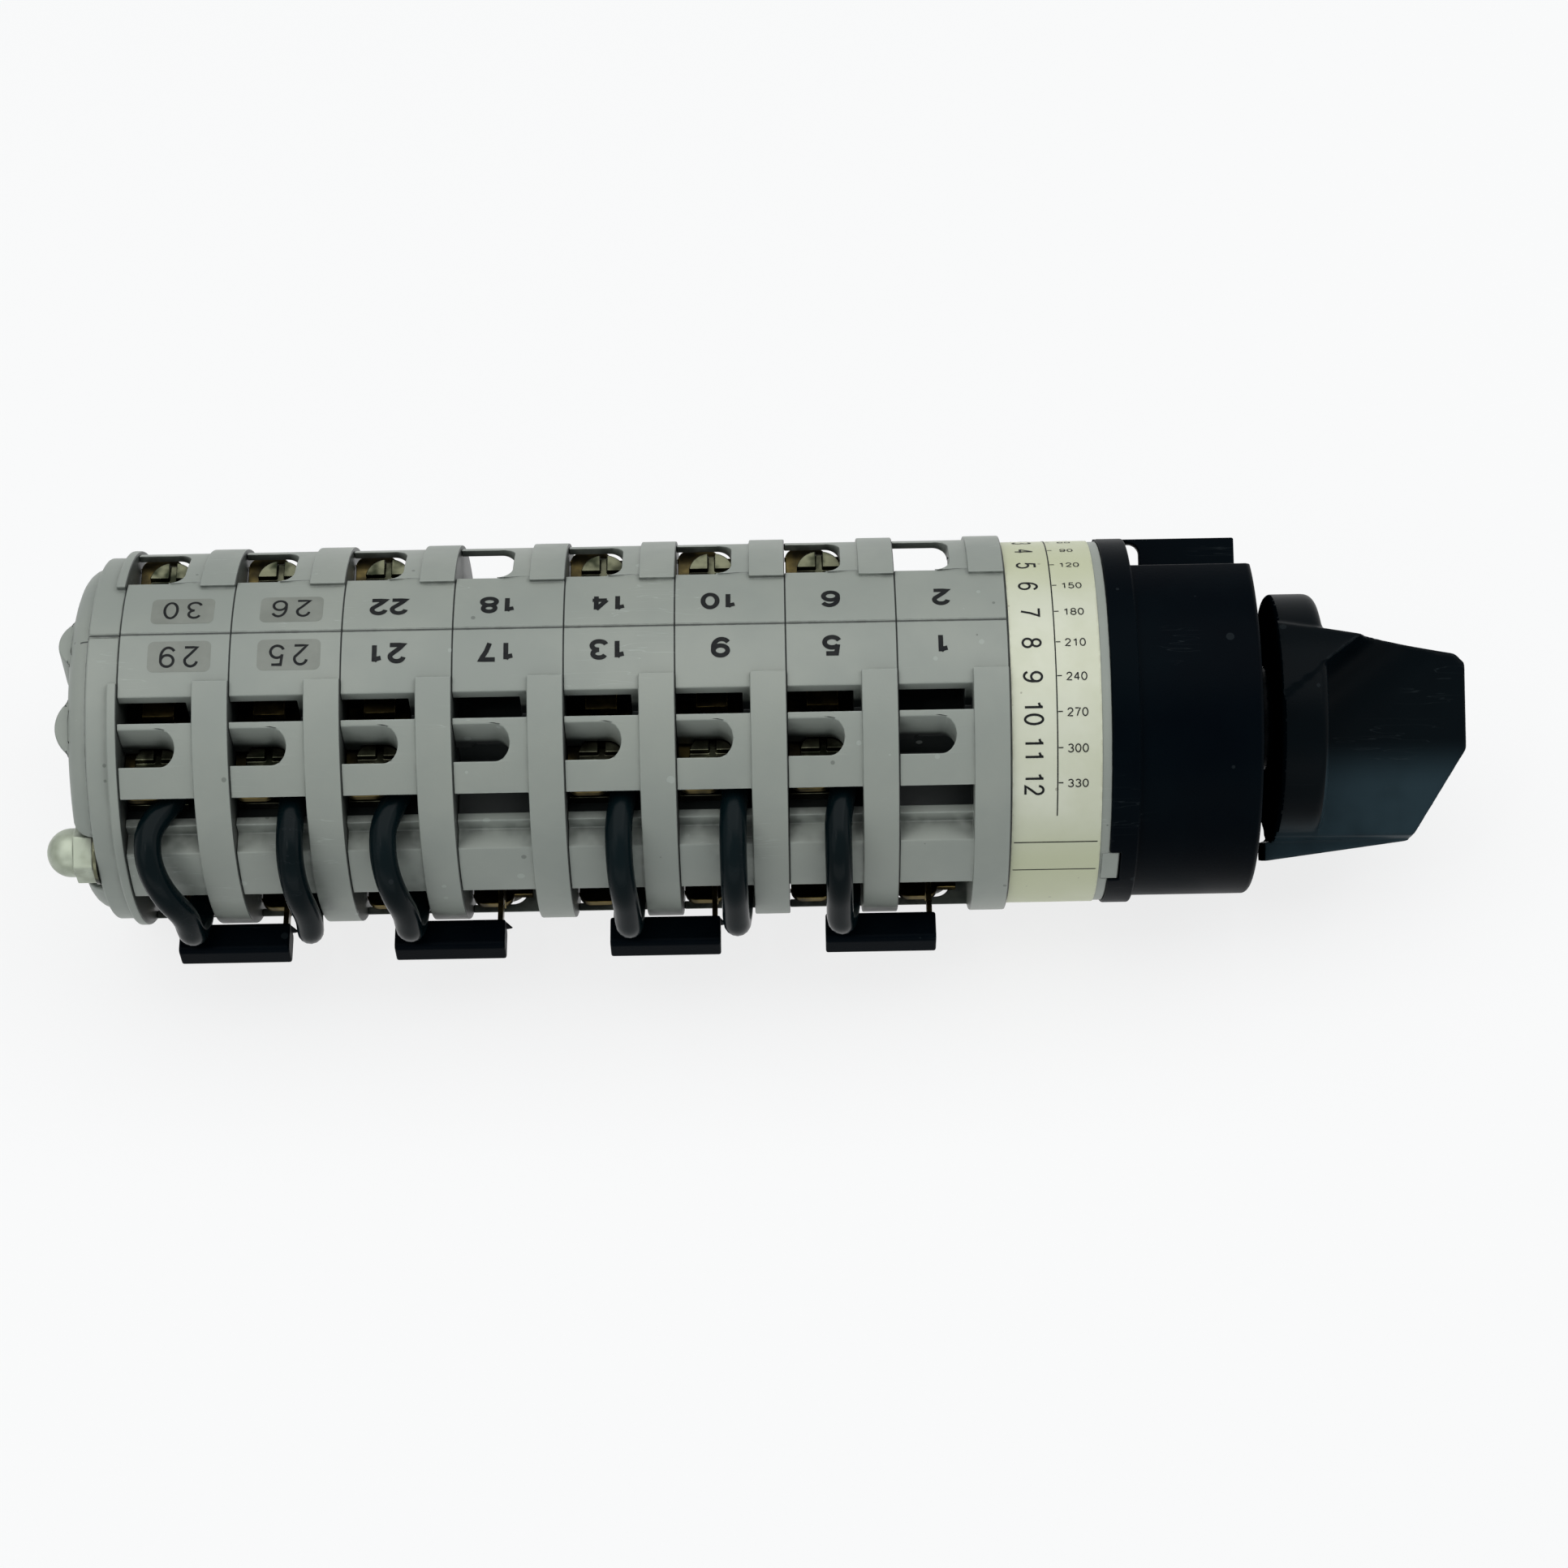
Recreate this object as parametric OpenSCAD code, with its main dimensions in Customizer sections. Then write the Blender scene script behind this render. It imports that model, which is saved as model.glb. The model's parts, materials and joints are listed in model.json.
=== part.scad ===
// Cam switch with eight contact decks, a round front housing and a bar knob.
// The shaft lies along X and the knob points to +X. The origin is the centre of the face
// that meets the panel, and +Z is the side of terminals 1 and 2 on every deck.

/* [Deck stack] */
// Length of one deck along the shaft
deck_pitch = 14.25; // [13.5:0.25:16]
// Radius over the raised band of a deck
band_r = 25; // [24.8:0.1:26]
// Step from the raised band down to the wall with the windows
band_step = 0.4; // [0.2:0.1:0.6]
// Step from that wall down to the field with the terminal numbers
field_step = 0.2; // [0.1:0.05:0.3]
// Length of the windows along the shaft
window_len = 9.6; // [9.2:0.1:10]
// Corner radius at the inner end of the wide screwdriver slot
slot_corner = 1.95; // [1.5:0.05:2.5]
// Length of the screwdriver slots along the shaft
slot_len = 7.3; // [7:0.1:8.5]

/* [Windows across the deck] */
// Edge of the number field on the side of terminal 1
field_left = 8.2; // [7.8:0.1:8.6]
// Width of the small sight window beside the number field
sight_w = 3.2; // [2.6:0.1:3.3]
// Width of the narrow screwdriver slot
slot_w = 3.9; // [3.9:0.1:4.3]
// Edge of the number field on the side of terminal 2
field_right = 9.65; // [9.4:0.05:10]
// Outer edge of the wide screwdriver slot
wide_slot_end = 17.7; // [17.2:0.1:18]
// Top edge of the wiring windows above the shaft
window_top = 15.6; // [15.4:0.1:15.8]
// Floor of the narrow wiring window, which is the top of the tie rod wall
window_floor = 8.63; // [8.4:0.05:8.9]
// Foot of the tie rod wall
wall_foot = 0.4; // [0:0.1:0.8]
// Top of the lip inside the narrow wiring window
lip_top = 10.7; // [10.3:0.1:11]

/* [Contacts] */
// Distance of the terminal screws from the shaft axis, across the deck
terminal_y = 14.05; // [13.9:0.05:14.2]
// Place of the terminal screws along the deck, from its rear face
terminal_x = 4.6; // [4.4:0.1:4.8]
// Thread radius of the terminal screws
screw_r = 1.9; // [1.5:0.1:1.95]
// Head radius of the terminal screws
screw_head_r = 3; // [2.7:0.1:3.05]
// Head height of the terminal screws
screw_head_h = 1.6; // [1.2:0.1:1.7]
// Height of the fixed contacts above the shaft axis
plate_z = 13.9; // [13.8:0.05:14]
// Thickness of the fixed contacts
plate_t = 1; // [0.8:0.1:1.1]
// Reach of the fixed contacts along the shaft beyond the terminal screws
plate_reach = 3.5; // [3:0.1:3.7]
// Thickness of the clamp plates
clamp_t = 1.5; // [1.2:0.1:1.6]
// Height of the clamp plates above the shaft axis
clamp_z = 9.6; // [9.5:0.05:9.8]
// Height of the contact tips
tip_h = 0.6; // [0.4:0.1:0.8]
// Gap of an open contact
contact_gap = 1.4; // [1.2:0.1:1.6]
// Thickness of the moving bridges
bridge_t = 1; // [0.8:0.1:1.2]

/* [Shaft and cams] */
// Width across the flats of the square shaft
shaft_af = 6; // [5:0.1:6.4]
// Greatest radius of the cams
cam_r = 7; // [6.8:0.1:7.2]
// Depth of the notches in the cams
cam_lift = 1.4; // [1:0.1:1.6]
// Radius of the cam hubs
cam_hub_r = 5; // [4.8:0.1:5.2]
// Radius of the round journals of the shaft
journal_r = 4.5; // [4.4:0.1:4.8]
// Running clearance of the journals
journal_gap = 0.05; // [0.03:0.01:0.08]

/* [Index mechanism] */
// Length of the index housing
index_len = 13; // [12.5:0.25:15]
// Step from the band of a deck down to the index housing and its label
index_step = 0.9; // [0.5:0.1:1]
// Radius at the tips of the star wheel
star_r = 13.5; // [13:0.25:14]
// Radius of the detent rollers
roller_r = 2.2; // [2:0.1:2.4]
// Lift of the detent rollers from a valley to a tip
roller_lift = 1.2; // [1:0.1:1.4]

/* [Front housing] */
// Length of the front housing
front_len = 19.5; // [19:0.25:22]
// Step from the band of a deck down to the barrel of the front housing
barrel_step = 1.6; // [1.2:0.1:1.8]
// Step from the band of a deck down to the rear collar
collar_step = 0.7; // [0.5:0.1:1]
// Length of the rear collar
collar_len = 3.6; // [3:0.1:4.5]
// Depth of the flat below the barrel
flat_depth = 3.5; // [3:0.1:3.8]
// Step from the band of a deck down to the crest of the key rib
rib_step = 0.5; // [0:0.1:1]
// Thickness of the key rib
rib_t = 1.6; // [1.2:0.1:2.2]

/* [Knob] */
// Gap between the panel face and the knob, which leaves room for a front plate
knob_gap = 3.2; // [2.4:0.1:4]
// Radius of the knob disc
disc_r = 16.5; // [16:0.1:17]
// Thickness of the knob disc
disc_t = 6.3; // [5.8:0.1:7]
// Distance from the panel face to the front of the grip
grip_front = 29; // [27:0.2:32]
// Half thickness of the blade at the disc
blade_half = 5.6; // [5:0.1:6]
// Reach of the pointer from the shaft axis
pointer_r = 19.2; // [18.4:0.1:20]

/* [Rear cover] */
// Length of the rim of the rear cover
rim_len = 4.1; // [3.5:0.1:5]
// Length of the hub behind the rim
hub_len = 2.9; // [2.5:0.1:3.5]
// Step from the band of a deck down to the rest of the rim
rear_step = 0.9; // [0.6:0.1:1.2]
// Step from the band of a deck down to the hub
hub_step = 2.2; // [1.8:0.1:2.6]
// Height of the rounded lobes
lobe_h = 1.7; // [1.2:0.1:2.2]

/* [Tie rods] */
// Depth of the tie rods below the band of a deck
rod_inset = 5; // [4.8:0.1:5.2]
// Height of the tie rods above and below the shaft axis
rod_z = 4.2; // [4.2:0.1:4.4]
// Radius of the tie rods
rod_r = 2; // [1.8:0.1:2.1]
// Width across the flats of the cap nuts
nut_af = 7; // [6.8:0.1:7.2]

/* [Wiring] */
// Outer diameter of the jumper wires
wire_d = 3.5; // [3:0.1:3.5]
// Place of the jumper wires along the deck, from its rear face
wire_x = 7.65; // [7.6:0.05:7.7]
// Length of the caps over the link bars
cap_len = 14.6; // [14.4:0.1:15]
// Height of the caps over the link bars
cap_h = 4; // [3.8:0.1:4.2]

/* [Mounting] */
// Distance between the two panel screws
panel_screw_pitch = 40; // [39:0.5:41]
// Radius of the tapped holes for the panel screws
panel_hole_r = 1.65; // [1.5:0.05:1.8]
// Depth of the tapped holes for the panel screws
panel_hole_len = 9; // [7:0.5:10]

/* [Hidden] */
$fn = 48;
decks = 8;
eps = 0.01;
far = 40;
gap = 0.15;
wall_r = band_r - band_step;
field_r = wall_r - field_step;
front_rear_x = -front_len;
stack_front_x = front_rear_x - index_len;
stack_rear_x = stack_front_x - decks * deck_pitch;
rim_rear_x = stack_rear_x - rim_len;
band_len = deck_pitch - window_len;
index_r = band_r - index_step;
collar_r = band_r - collar_step;
barrel_r = band_r - barrel_step;
rib_r = band_r - rib_step;
rear_r = band_r - rear_step;
hub_r = band_r - hub_step;
rod_y = band_r - rod_inset;

// Raised band: its ends beside the number field
band_gap_left = field_left - 1.7;
band_gap_right = field_right - 1.05;

// Chambers of a deck, and where the insulation of a wire starts in them
sight_floor = plate_z + plate_t + screw_head_h + 1.1;
lip_y = band_r - 4.9;
lip_t = 1.2;
wire_start_y = 17.3;
chamber_in = 10.3;
alcove_y = 14;
bridge_room = 9;
bridge_room_x = 8.6;
passage_z = plate_z - 0.5;
spring_top = field_r - 2.9;
seam_y = 0.55;
seam_w = 0.35;
seam_depth = 0.2;

// Contacts, drawn for the terminal at +Y and +Z
plate_top = plate_z + plate_t;
head_top = plate_top + screw_head_h;
plate_x0 = gap;
plate_x1 = terminal_x + plate_reach;
plate_corner = 1.5;
plate_in = 5.2;
plate_out = band_r - 6.4;
plate_stop = wire_start_y - gap / 2;
tab_x1 = wire_x - wire_d / 2 - 2 * gap;
tip_y = 6.8;
tip_r = 1.5;
clamp_in = chamber_in + 0.25;
clamp_out = wire_start_y - gap;
screw_slot_w = 0.9;
screw_slot_d = 0.8;
thread_gap = 0.05;
bridge_w = 4;
bridge_z = plate_top + 2 * tip_h + contact_gap;
plunger_x0 = terminal_x - 2.4;
plunger_x1 = terminal_x + 2.4;
plunger_y = 2.4;
spring_r = 1.9;
spring_wire = 0.3;
spring_turns = 2;
spring_peg = 0.8;
coil_steps = 8;
coil_sides = 5;

// Cams on the shaft
cam_clearance = 0.6;
cam_x0 = 0.9;
cam_x1 = window_len - 1.2;
cam_room = window_len - 0.6;
hub_x1 = deck_pitch + 0.7;
notch_slope = tan(12);

// Link bars and their caps, at the side of terminal 4
link_half = cap_len / 2 - 0.4;
link_t = 0.7;
link_out = band_r + 0.6;
link_z0 = -9.2;
link_z1 = -11.2;
leg_step = band_r - 7;
leg_heel = band_r - 5.5;
leg_end = 16.3;
leg_z0 = -11.3;
leg_z1 = -13.6;
cap_out = band_r + 3.2;
cap_in = band_r - 1.1;
cap_z0 = (link_z0 + link_z1) / 2 - cap_h / 2;
cap_round = 0.8;

// Jumper wires: their straight lengths and bends in order
wire_reach = band_r - wire_start_y - 4.5;
wire_bend = 8;
wire_hook = 5;
wire_jog = 2.5;
wire_slant = 75;
wire_drop = 2.6;
wire_z = 12.5;
strand_y = 12.2;
strand_r = 1.05;
jog_down = 2 * wire_jog * (1 - cos(wire_slant)) + wire_drop * sin(wire_slant);
jog_back = 2 * wire_jog * sin(wire_slant) + wire_drop * cos(wire_slant);
wire_down = 2 * wire_z - wire_bend - wire_hook - jog_down;
wire_back = wire_reach + wire_bend - wire_hook - jog_back;
wire_steps = [[wire_reach], [wire_bend, 90], [wire_down], [wire_hook, 90], [wire_back],
    [wire_jog, -wire_slant], [wire_drop], [wire_jog, wire_slant]];

// Tie rods and cap nuts
rod_reach = 10;
rod_front_x = front_rear_x + rod_reach;
washer_t = 0.5;
washer_r = 4.2;
nut_x = rim_rear_x - washer_t;
nut_hex_h = 2.6;
dome_r = nut_af / 2 - 0.3;
dome_neck = 0.7;
nut_hole = 4.4;
nut_room = 5;
rod_rear_x = nut_x - nut_hole + 0.3;

// Rear cover
rear_band_len = 1.3;
hub_round = 2.8;
lobe_angles = [5.5, -28];
lobe_r = 4.2;
lobe_in = 13.5;
lobe_out = hub_r - 2.3;
rear_wall = 1.5;
rear_pin_r = shaft_af / 2 - 0.1;
rear_pin_x = rim_rear_x - hub_len + rear_wall + 2 * gap;

// Index housing, star wheel and detents
positions = 12;
label_t = 0.15;
label_margin = 0.2;
label_rim = 1.3;
label_from = -140;
label_to = 85;
lug_len = 1.3;
lug_phi = -84;
lug_w = 5.6;
lug_in = index_r - 3.1;
index_wall = 2.5;
star_room = 0.8;
star_x0 = stack_front_x + 1.5;
star_x1 = front_rear_x - index_wall - 0.5;
roller_z = star_r - roller_lift + roller_r;
slide_top = roller_z + roller_r + 0.8;
detent_room = index_r - 2.6;
detent_coil_r = roller_r - 0.5;
detent_turns = 3;

// Front housing
front_bevel = 0.5;
flat_phi = 60;
flat_dist = barrel_r - flat_depth;
rib_phi = 66;
rib_hole_x = front_rear_x + collar_len + 2.6;
rib_hole_r = 1.4;
rib_bridge = 0.6;
barrel_in = barrel_r - 5.4;
front_wall = 4.5;
bush_r = 7;
boss_wall = 2;
boss_depth = 6;

// Shaft ends and the clip behind the bush
clip_t = 0.8;
clip_x = front_rear_x + boss_depth - 2 * gap - clip_t / 2;
clip_groove = 0.6;
clip_rim = 1.5;
clip_mouth = 2;
shaft_front_x = 19;

// Knob, with its pointer at knob_phi from +Z towards +Y
knob_phi = -120;
disc_round = 1.4;
disc_break = 0.4;
flank_step = 0.4;
tail_r = 12.2;
tail_front = 7.9;
nose_z = 4.7;
nose_half = 3.2;
front_half = 4.4;
chamfer_len = 7.7;
chamfer_x = grip_front - chamfer_len;
tail_fall = 1;
grip_break = 1.3;
pointer_fall = 2.4;
nose_start = 2;
pointer_back = knob_gap - 1.1;
sleeve_x = 0.4;
sleeve_r = bush_r - 0.2;
scoop_tilt = 54;
scoop_n = 9;
scoop_r = 9;
shaft_room = shaft_af / 2 + gap;
insert_half = 4.1;
insert_x1 = shaft_front_x + 2;
screw_hole_len = 8;
screw_room_r = 3.1;
knob_screw_r = 1.5;
knob_head_r = 2.8;
knob_head_h = 2.2;
knob_slot_w = 1;
knob_slot_d = 1;

// Decks on which no terminal is fitted at the side of terminals 1 and 2
bare_decks = [1, 5];
// Decks that carry a jumper wire, and decks whose rear part carries a link bar
wired_decks = [2, 3, 4, 6, 7, 8];
linked_decks = [2, 4, 6, 8];

function deck_x(k) = stack_front_x - k * deck_pitch;
function fitted(k, side) = side < 0 || len(search(k, bare_decks)) == 0;

// Solid with a cross-section drawn in Y and Z, from x on
module along_x(x, len) translate([x, 0, 0]) rotate([90, 0, 90]) linear_extrude(len) children();

// Round bar or hole along X
module rod_x(x, len, r, y = 0, z = 0)
    translate([x, y, z]) rotate([0, 90, 0]) cylinder(h = len, r = r);

// Block between two corners
module block(a, b) translate(a) cube(b - a);

// Square bar or hole on the shaft axis, in line with the knob
module square_bar(x0, x1, half) rotate([-knob_phi, 0, 0]) block([x0, -half, -half], [x1, half, half]);

// Turned piece on the shaft axis, with points of radius and x
module turned(points) rotate([0, 90, 0]) rotate_extrude() polygon(points);

// The piece and its copy half a turn round the shaft
module half_turns() {
    children();
    rotate([180, 0, 0]) children();
}

// Window that is cut through the wall for a screwdriver, with round corners at its inner end
module screw_slot(y_from, y_to, z, corner) {
    block([-eps, y_from, z], [slot_len - corner, y_to, far]);
    block([-eps, y_from + corner, z], [slot_len, y_to - corner, far]);
    for (y = [y_from + corner, y_to - corner])
        translate([slot_len - corner, y, z]) cylinder(h = far - z, r = corner);
}

// Outside of a deck: the wall, the raised band at its front and the lower number field
module deck_outside() {
    difference() {
        union() {
            rod_x(0, deck_pitch, wall_r);
            rod_x(window_len, band_len, band_r);
        }
        half_turns() difference() {
            union() {
                block([-1, -field_left, 0], [window_len, field_right, far]);
                block([window_len - eps, -band_gap_left, 0], [deck_pitch + 1, band_gap_right, far]);
            }
            rod_x(-2, deck_pitch + 4, field_r);
        }
    }
}

// Windows, terminal chambers and bridge chamber on one side of a deck
module deck_cuts() {
    block([-eps, -field_left - sight_w, sight_floor], [window_len, -field_left, far]);
    screw_slot(-terminal_y - slot_w / 2, -terminal_y + slot_w / 2, plate_z, slot_w / 2 - eps);
    screw_slot(field_right, wide_slot_end, plate_z, slot_corner);
    block([-eps, -far, window_floor], [window_len, -lip_y, window_top]);
    block([-eps, -lip_y - eps, lip_top], [window_len, -chamber_in, window_top]);
    block([-eps, lip_t - lip_y, clamp_z - gap], [window_len, -chamber_in, window_top]);
    block([-eps, alcove_y, -wall_foot], [window_len, far, window_top]);
    block([-eps, chamber_in, clamp_z - gap], [window_len, alcove_y + eps, window_top]);
    for (y = [-terminal_y, terminal_y])
        translate([terminal_x, y, plate_z]) cylinder(h = head_top - plate_z + gap, r = screw_head_r + gap);
    block([-eps, -bridge_room, passage_z], [bridge_room_x, bridge_room, spring_top]);
    block([-eps, -chamber_in - eps, plate_z - gap], [bridge_room_x, chamber_in + eps, plate_top + gap]);
    block([plunger_x0 - gap, -plunger_y - gap, 0], [plunger_x1 + gap, plunger_y + gap, passage_z + eps]);
    rod_x(-1, deck_pitch + 2, rod_r + gap, -rod_y, rod_z);
    block([-eps, seam_y - seam_w / 2, field_r - seam_depth], [deck_pitch + 1, seam_y + seam_w / 2, far]);
}

module deck(k) {
    color([0.59, 0.62, 0.59]) translate([deck_x(k), 0, 0]) difference() {
        deck_outside();
        rod_x(-eps, cam_room, cam_r + cam_clearance);
        rod_x(-1, deck_pitch + 2, cam_hub_r + gap);
        half_turns() deck_cuts();
    }
}

// Cam with a notch at each of the given angles, where its contact closes
module cam(k, notches) {
    color([0.85, 0.83, 0.76]) translate([deck_x(k), 0, 0]) difference() {
        union() {
            along_x(cam_x0, cam_x1 - cam_x0) difference() {
                circle(r = cam_r);
                for (a = notches) intersection() {
                    rotate(90 - a) polygon([[0, 0], [2 * cam_r, -cam_r * notch_slope],
                        [2 * cam_r, cam_r * notch_slope]]);
                    difference() {
                        circle(r = 2 * cam_r);
                        circle(r = cam_r - cam_lift);
                    }
                }
            }
            rod_x(cam_x1 - eps, hub_x1 - cam_x1 + eps, cam_hub_r);
        }
        square_bar(-1, deck_pitch + 2, shaft_af / 2 + journal_gap);
    }
}

// Places the children at every fitted terminal of one kind on deck k. The children are drawn
// for the terminal at +Z, and side says on which side of the deck they lie in Y.
module at_terminals(k) {
    for (half = [1, -1]) if (fitted(k, half))
        translate([deck_x(k), 0, 0]) rotate([half > 0 ? 0 : 180, 0, 0])
            for (side = [-1, 1]) scale_side(side) children();
}

module scale_side(side) {
    if (side > 0) children();
    else mirror([0, 1, 0]) children();
}

module fixed_contact() {
    difference() {
        union() {
            block([plate_x0, plate_in, plate_z], [plate_x1, plate_stop, plate_top]);
            block([plate_x0, plate_in, plate_z], [tab_x1, plate_out - plate_corner, plate_top]);
            block([plate_x0 + plate_corner, plate_in, plate_z],
                [tab_x1 - plate_corner, plate_out, plate_top]);
            for (x = [plate_x0 + plate_corner, tab_x1 - plate_corner])
                translate([x, plate_out - plate_corner, plate_z]) cylinder(h = plate_t, r = plate_corner);
            translate([terminal_x, tip_y, plate_top - eps]) cylinder(h = tip_h + eps, r = tip_r);
        }
        translate([terminal_x, terminal_y, plate_z - 1]) cylinder(h = plate_t + 2, r = screw_r + gap);
    }
}
module fixed_contacts() {
    color([0.78, 0.66, 0.36]) for (k = [1 : decks]) at_terminals(k) fixed_contact();
}

module terminal_screw() {
    translate([terminal_x, terminal_y, 0]) difference() {
        union() {
            translate([0, 0, plate_top]) cylinder(h = screw_head_h, r = screw_head_r);
            translate([0, 0, clamp_z]) cylinder(h = plate_top - clamp_z + eps, r = screw_r);
        }
        for (turn = [0, 90]) rotate(turn)
            block([-far, -screw_slot_w / 2, head_top - screw_slot_d], [far, screw_slot_w / 2, far]);
    }
}
module terminal_screws() {
    color([0.72, 0.7, 0.5]) for (k = [1 : decks]) at_terminals(k) terminal_screw();
}

module clamp_plate() {
    difference() {
        block([plate_x0, clamp_in, clamp_z], [plate_x1, clamp_out, clamp_z + clamp_t]);
        translate([terminal_x, terminal_y, clamp_z - 1]) cylinder(h = clamp_t + 2, r = screw_r + thread_gap);
    }
}
module clamp_plates() {
    color([0.74, 0.72, 0.55]) for (k = [1 : decks]) at_terminals(k) clamp_plate();
}

// Places the children on both contact sides of every deck that has its contacts
module at_contacts() {
    for (k = [1 : decks]) for (half = [1, -1]) if (fitted(k, half))
        translate([deck_x(k), 0, 0]) rotate([half > 0 ? 0 : 180, 0, 0]) children();
}
module contact_bridges() {
    color([0.8, 0.62, 0.36]) at_contacts() {
        block([terminal_x - bridge_w / 2, -tip_y - tip_r, bridge_z], [terminal_x + bridge_w / 2,
            tip_y + tip_r, bridge_z + bridge_t]);
        for (y = [-tip_y, tip_y])
            translate([terminal_x, y, bridge_z - tip_h]) cylinder(h = tip_h + eps, r = tip_r);
        translate([terminal_x, 0, bridge_z + bridge_t - eps])
            cylinder(h = spring_peg, r = spring_r - 2 * spring_wire);
    }
}
module contact_plungers() {
    color([0.9, 0.88, 0.8]) at_contacts()
        block([plunger_x0, -plunger_y, cam_r + 2 * gap], [plunger_x1, plunger_y, bridge_z]);
}

// Coil of a spring along Z, swept as a wire with few sides
module coil(height, radius, wire_r, turns) {
    steps = turns * coil_steps;
    rise = (height - 2 * wire_r) / steps;
    points = [for (i = [0 : steps]) for (s = [0 : coil_sides - 1])
        let (a = 360 * s / coil_sides, turn = 360 * i / coil_steps, out = radius + wire_r * cos(a))
        [out * cos(turn), out * sin(turn), wire_r + rise * i + wire_r * sin(a)]];
    walls = [for (i = [0 : steps - 1]) for (s = [0 : coil_sides - 1]) for (half = [0, 1])
        let (n = (s + 1) % coil_sides, low = i * coil_sides, high = low + coil_sides)
        half == 0 ? [low + s, low + n, high + n] : [low + s, high + n, high + s]];
    ends = [[for (s = [coil_sides - 1 : -1 : 0]) s], [for (s = [0 : coil_sides - 1]) steps * coil_sides + s]];
    polyhedron(points, concat(walls, ends));
}
module contact_springs() {
    color([0.75, 0.75, 0.78]) at_contacts() translate([terminal_x, 0, bridge_z + bridge_t])
        coil(spring_top - bridge_z - bridge_t, spring_r, spring_wire, spring_turns);
}

// Section of the link bar legs, drawn in Y and Z
module link_leg() {
    polygon([[-link_out, link_z0], [-leg_step, link_z0], [-leg_step, leg_z0], [-leg_end, leg_z0],
        [-leg_end, leg_z1], [-leg_heel, leg_z1], [-leg_heel, link_z1], [-link_out, link_z1]]);
}
module link_bar(k) translate([deck_x(k) + window_len + band_len / 2, 0, 0]) {
    block([-link_half, -link_out, link_z1], [link_half, link_t - link_out, link_z0]);
    for (x = [-link_half, link_half - link_t]) along_x(x, link_t) link_leg();
}
module link_bars() color([0.8, 0.66, 0.36]) for (k = linked_decks) link_bar(k);

// Rectangle with round corners between two corner points
module round_rect(a, b, r) {
    translate([a.x + r, a.y]) square([b.x - a.x - 2 * r, b.y - a.y]);
    translate([a.x, a.y + r]) square([b.x - a.x, b.y - a.y - 2 * r]);
    for (x = [a.x + r, b.x - r]) for (y = [a.y + r, b.y - r]) translate([x, y]) circle(r = r);
}
module link_cap(k) translate([deck_x(k) + window_len + band_len / 2, 0, 0]) difference() {
    along_x(-cap_len / 2, cap_len) round_rect([-cap_out, cap_z0], [-cap_in, cap_z0 + cap_h], cap_round);
    block([-link_half - gap / 2, -link_out - gap, link_z1 - gap], [link_half + gap / 2, 0, link_z0 + gap]);
}
module link_caps() color([0.06, 0.08, 0.09]) for (k = linked_decks) link_cap(k);

// Wire that runs along a list of steps from the origin, at first towards +Z. A step of one
// number is a straight length, and a step of two numbers is a bend with its radius and its
// angle, where a positive angle turns the wire towards +X.
module wire_run(steps, r, i = 0) {
    if (i < len(steps)) {
        s = steps[i];
        if (len(s) == 1) {
            cylinder(h = s[0], r = r);
            translate([0, 0, s[0]]) wire_run(steps, r, i + 1);
        } else {
            side = sign(s[1]);
            translate([side * s[0], 0, 0]) rotate([90, 0, side > 0 ? 180 : 0])
                rotate_extrude(angle = abs(s[1])) translate([s[0], 0]) circle(r = r);
            translate([side * s[0], 0, 0]) rotate([0, s[1], 0]) translate([-side * s[0], 0, 0])
                wire_run(steps, r, i + 1);
        }
    }
}
module jumper_wire(k) translate([deck_x(k) + wire_x, 0, 0]) {
    color([0.08, 0.09, 0.12]) translate([0, -wire_start_y, wire_z])
        multmatrix([[0, 1, 0, 0], [0, 0, -1, 0], [-1, 0, 0, 0], [0, 0, 0, 1]])
            wire_run(wire_steps, wire_d / 2);
    color([0.75, 0.5, 0.3]) for (z = [wire_z, -wire_z])
        translate([0, -strand_y, z]) rotate([90, 0, 0])
            cylinder(h = wire_start_y - strand_y + eps, r = strand_r);
}

module tie_rods() color([0.75, 0.76, 0.72]) half_turns()
    rod_x(rod_rear_x, rod_front_x - rod_rear_x, rod_r, -rod_y, rod_z);
module nut_washers() color([0.72, 0.74, 0.66]) half_turns() difference() {
    rod_x(rim_rear_x - washer_t, washer_t, washer_r, -rod_y, rod_z);
    rod_x(rim_rear_x - washer_t - 1, washer_t + 2, rod_r + gap, -rod_y, rod_z);
}
module cap_nuts() color([0.78, 0.8, 0.66]) half_turns() translate([nut_x, -rod_y, rod_z]) difference() {
    rotate([0, -90, 0]) {
        cylinder(h = nut_hex_h, r = nut_af / sqrt(3), $fn = 6);
        cylinder(h = nut_hex_h + dome_neck, r = dome_r);
        translate([0, 0, nut_hex_h + dome_neck]) sphere(r = dome_r);
    }
    rotate([0, -90, 0]) translate([0, 0, -1]) cylinder(h = nut_hole + 1, r = rod_r + gap / 3);
}

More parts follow.
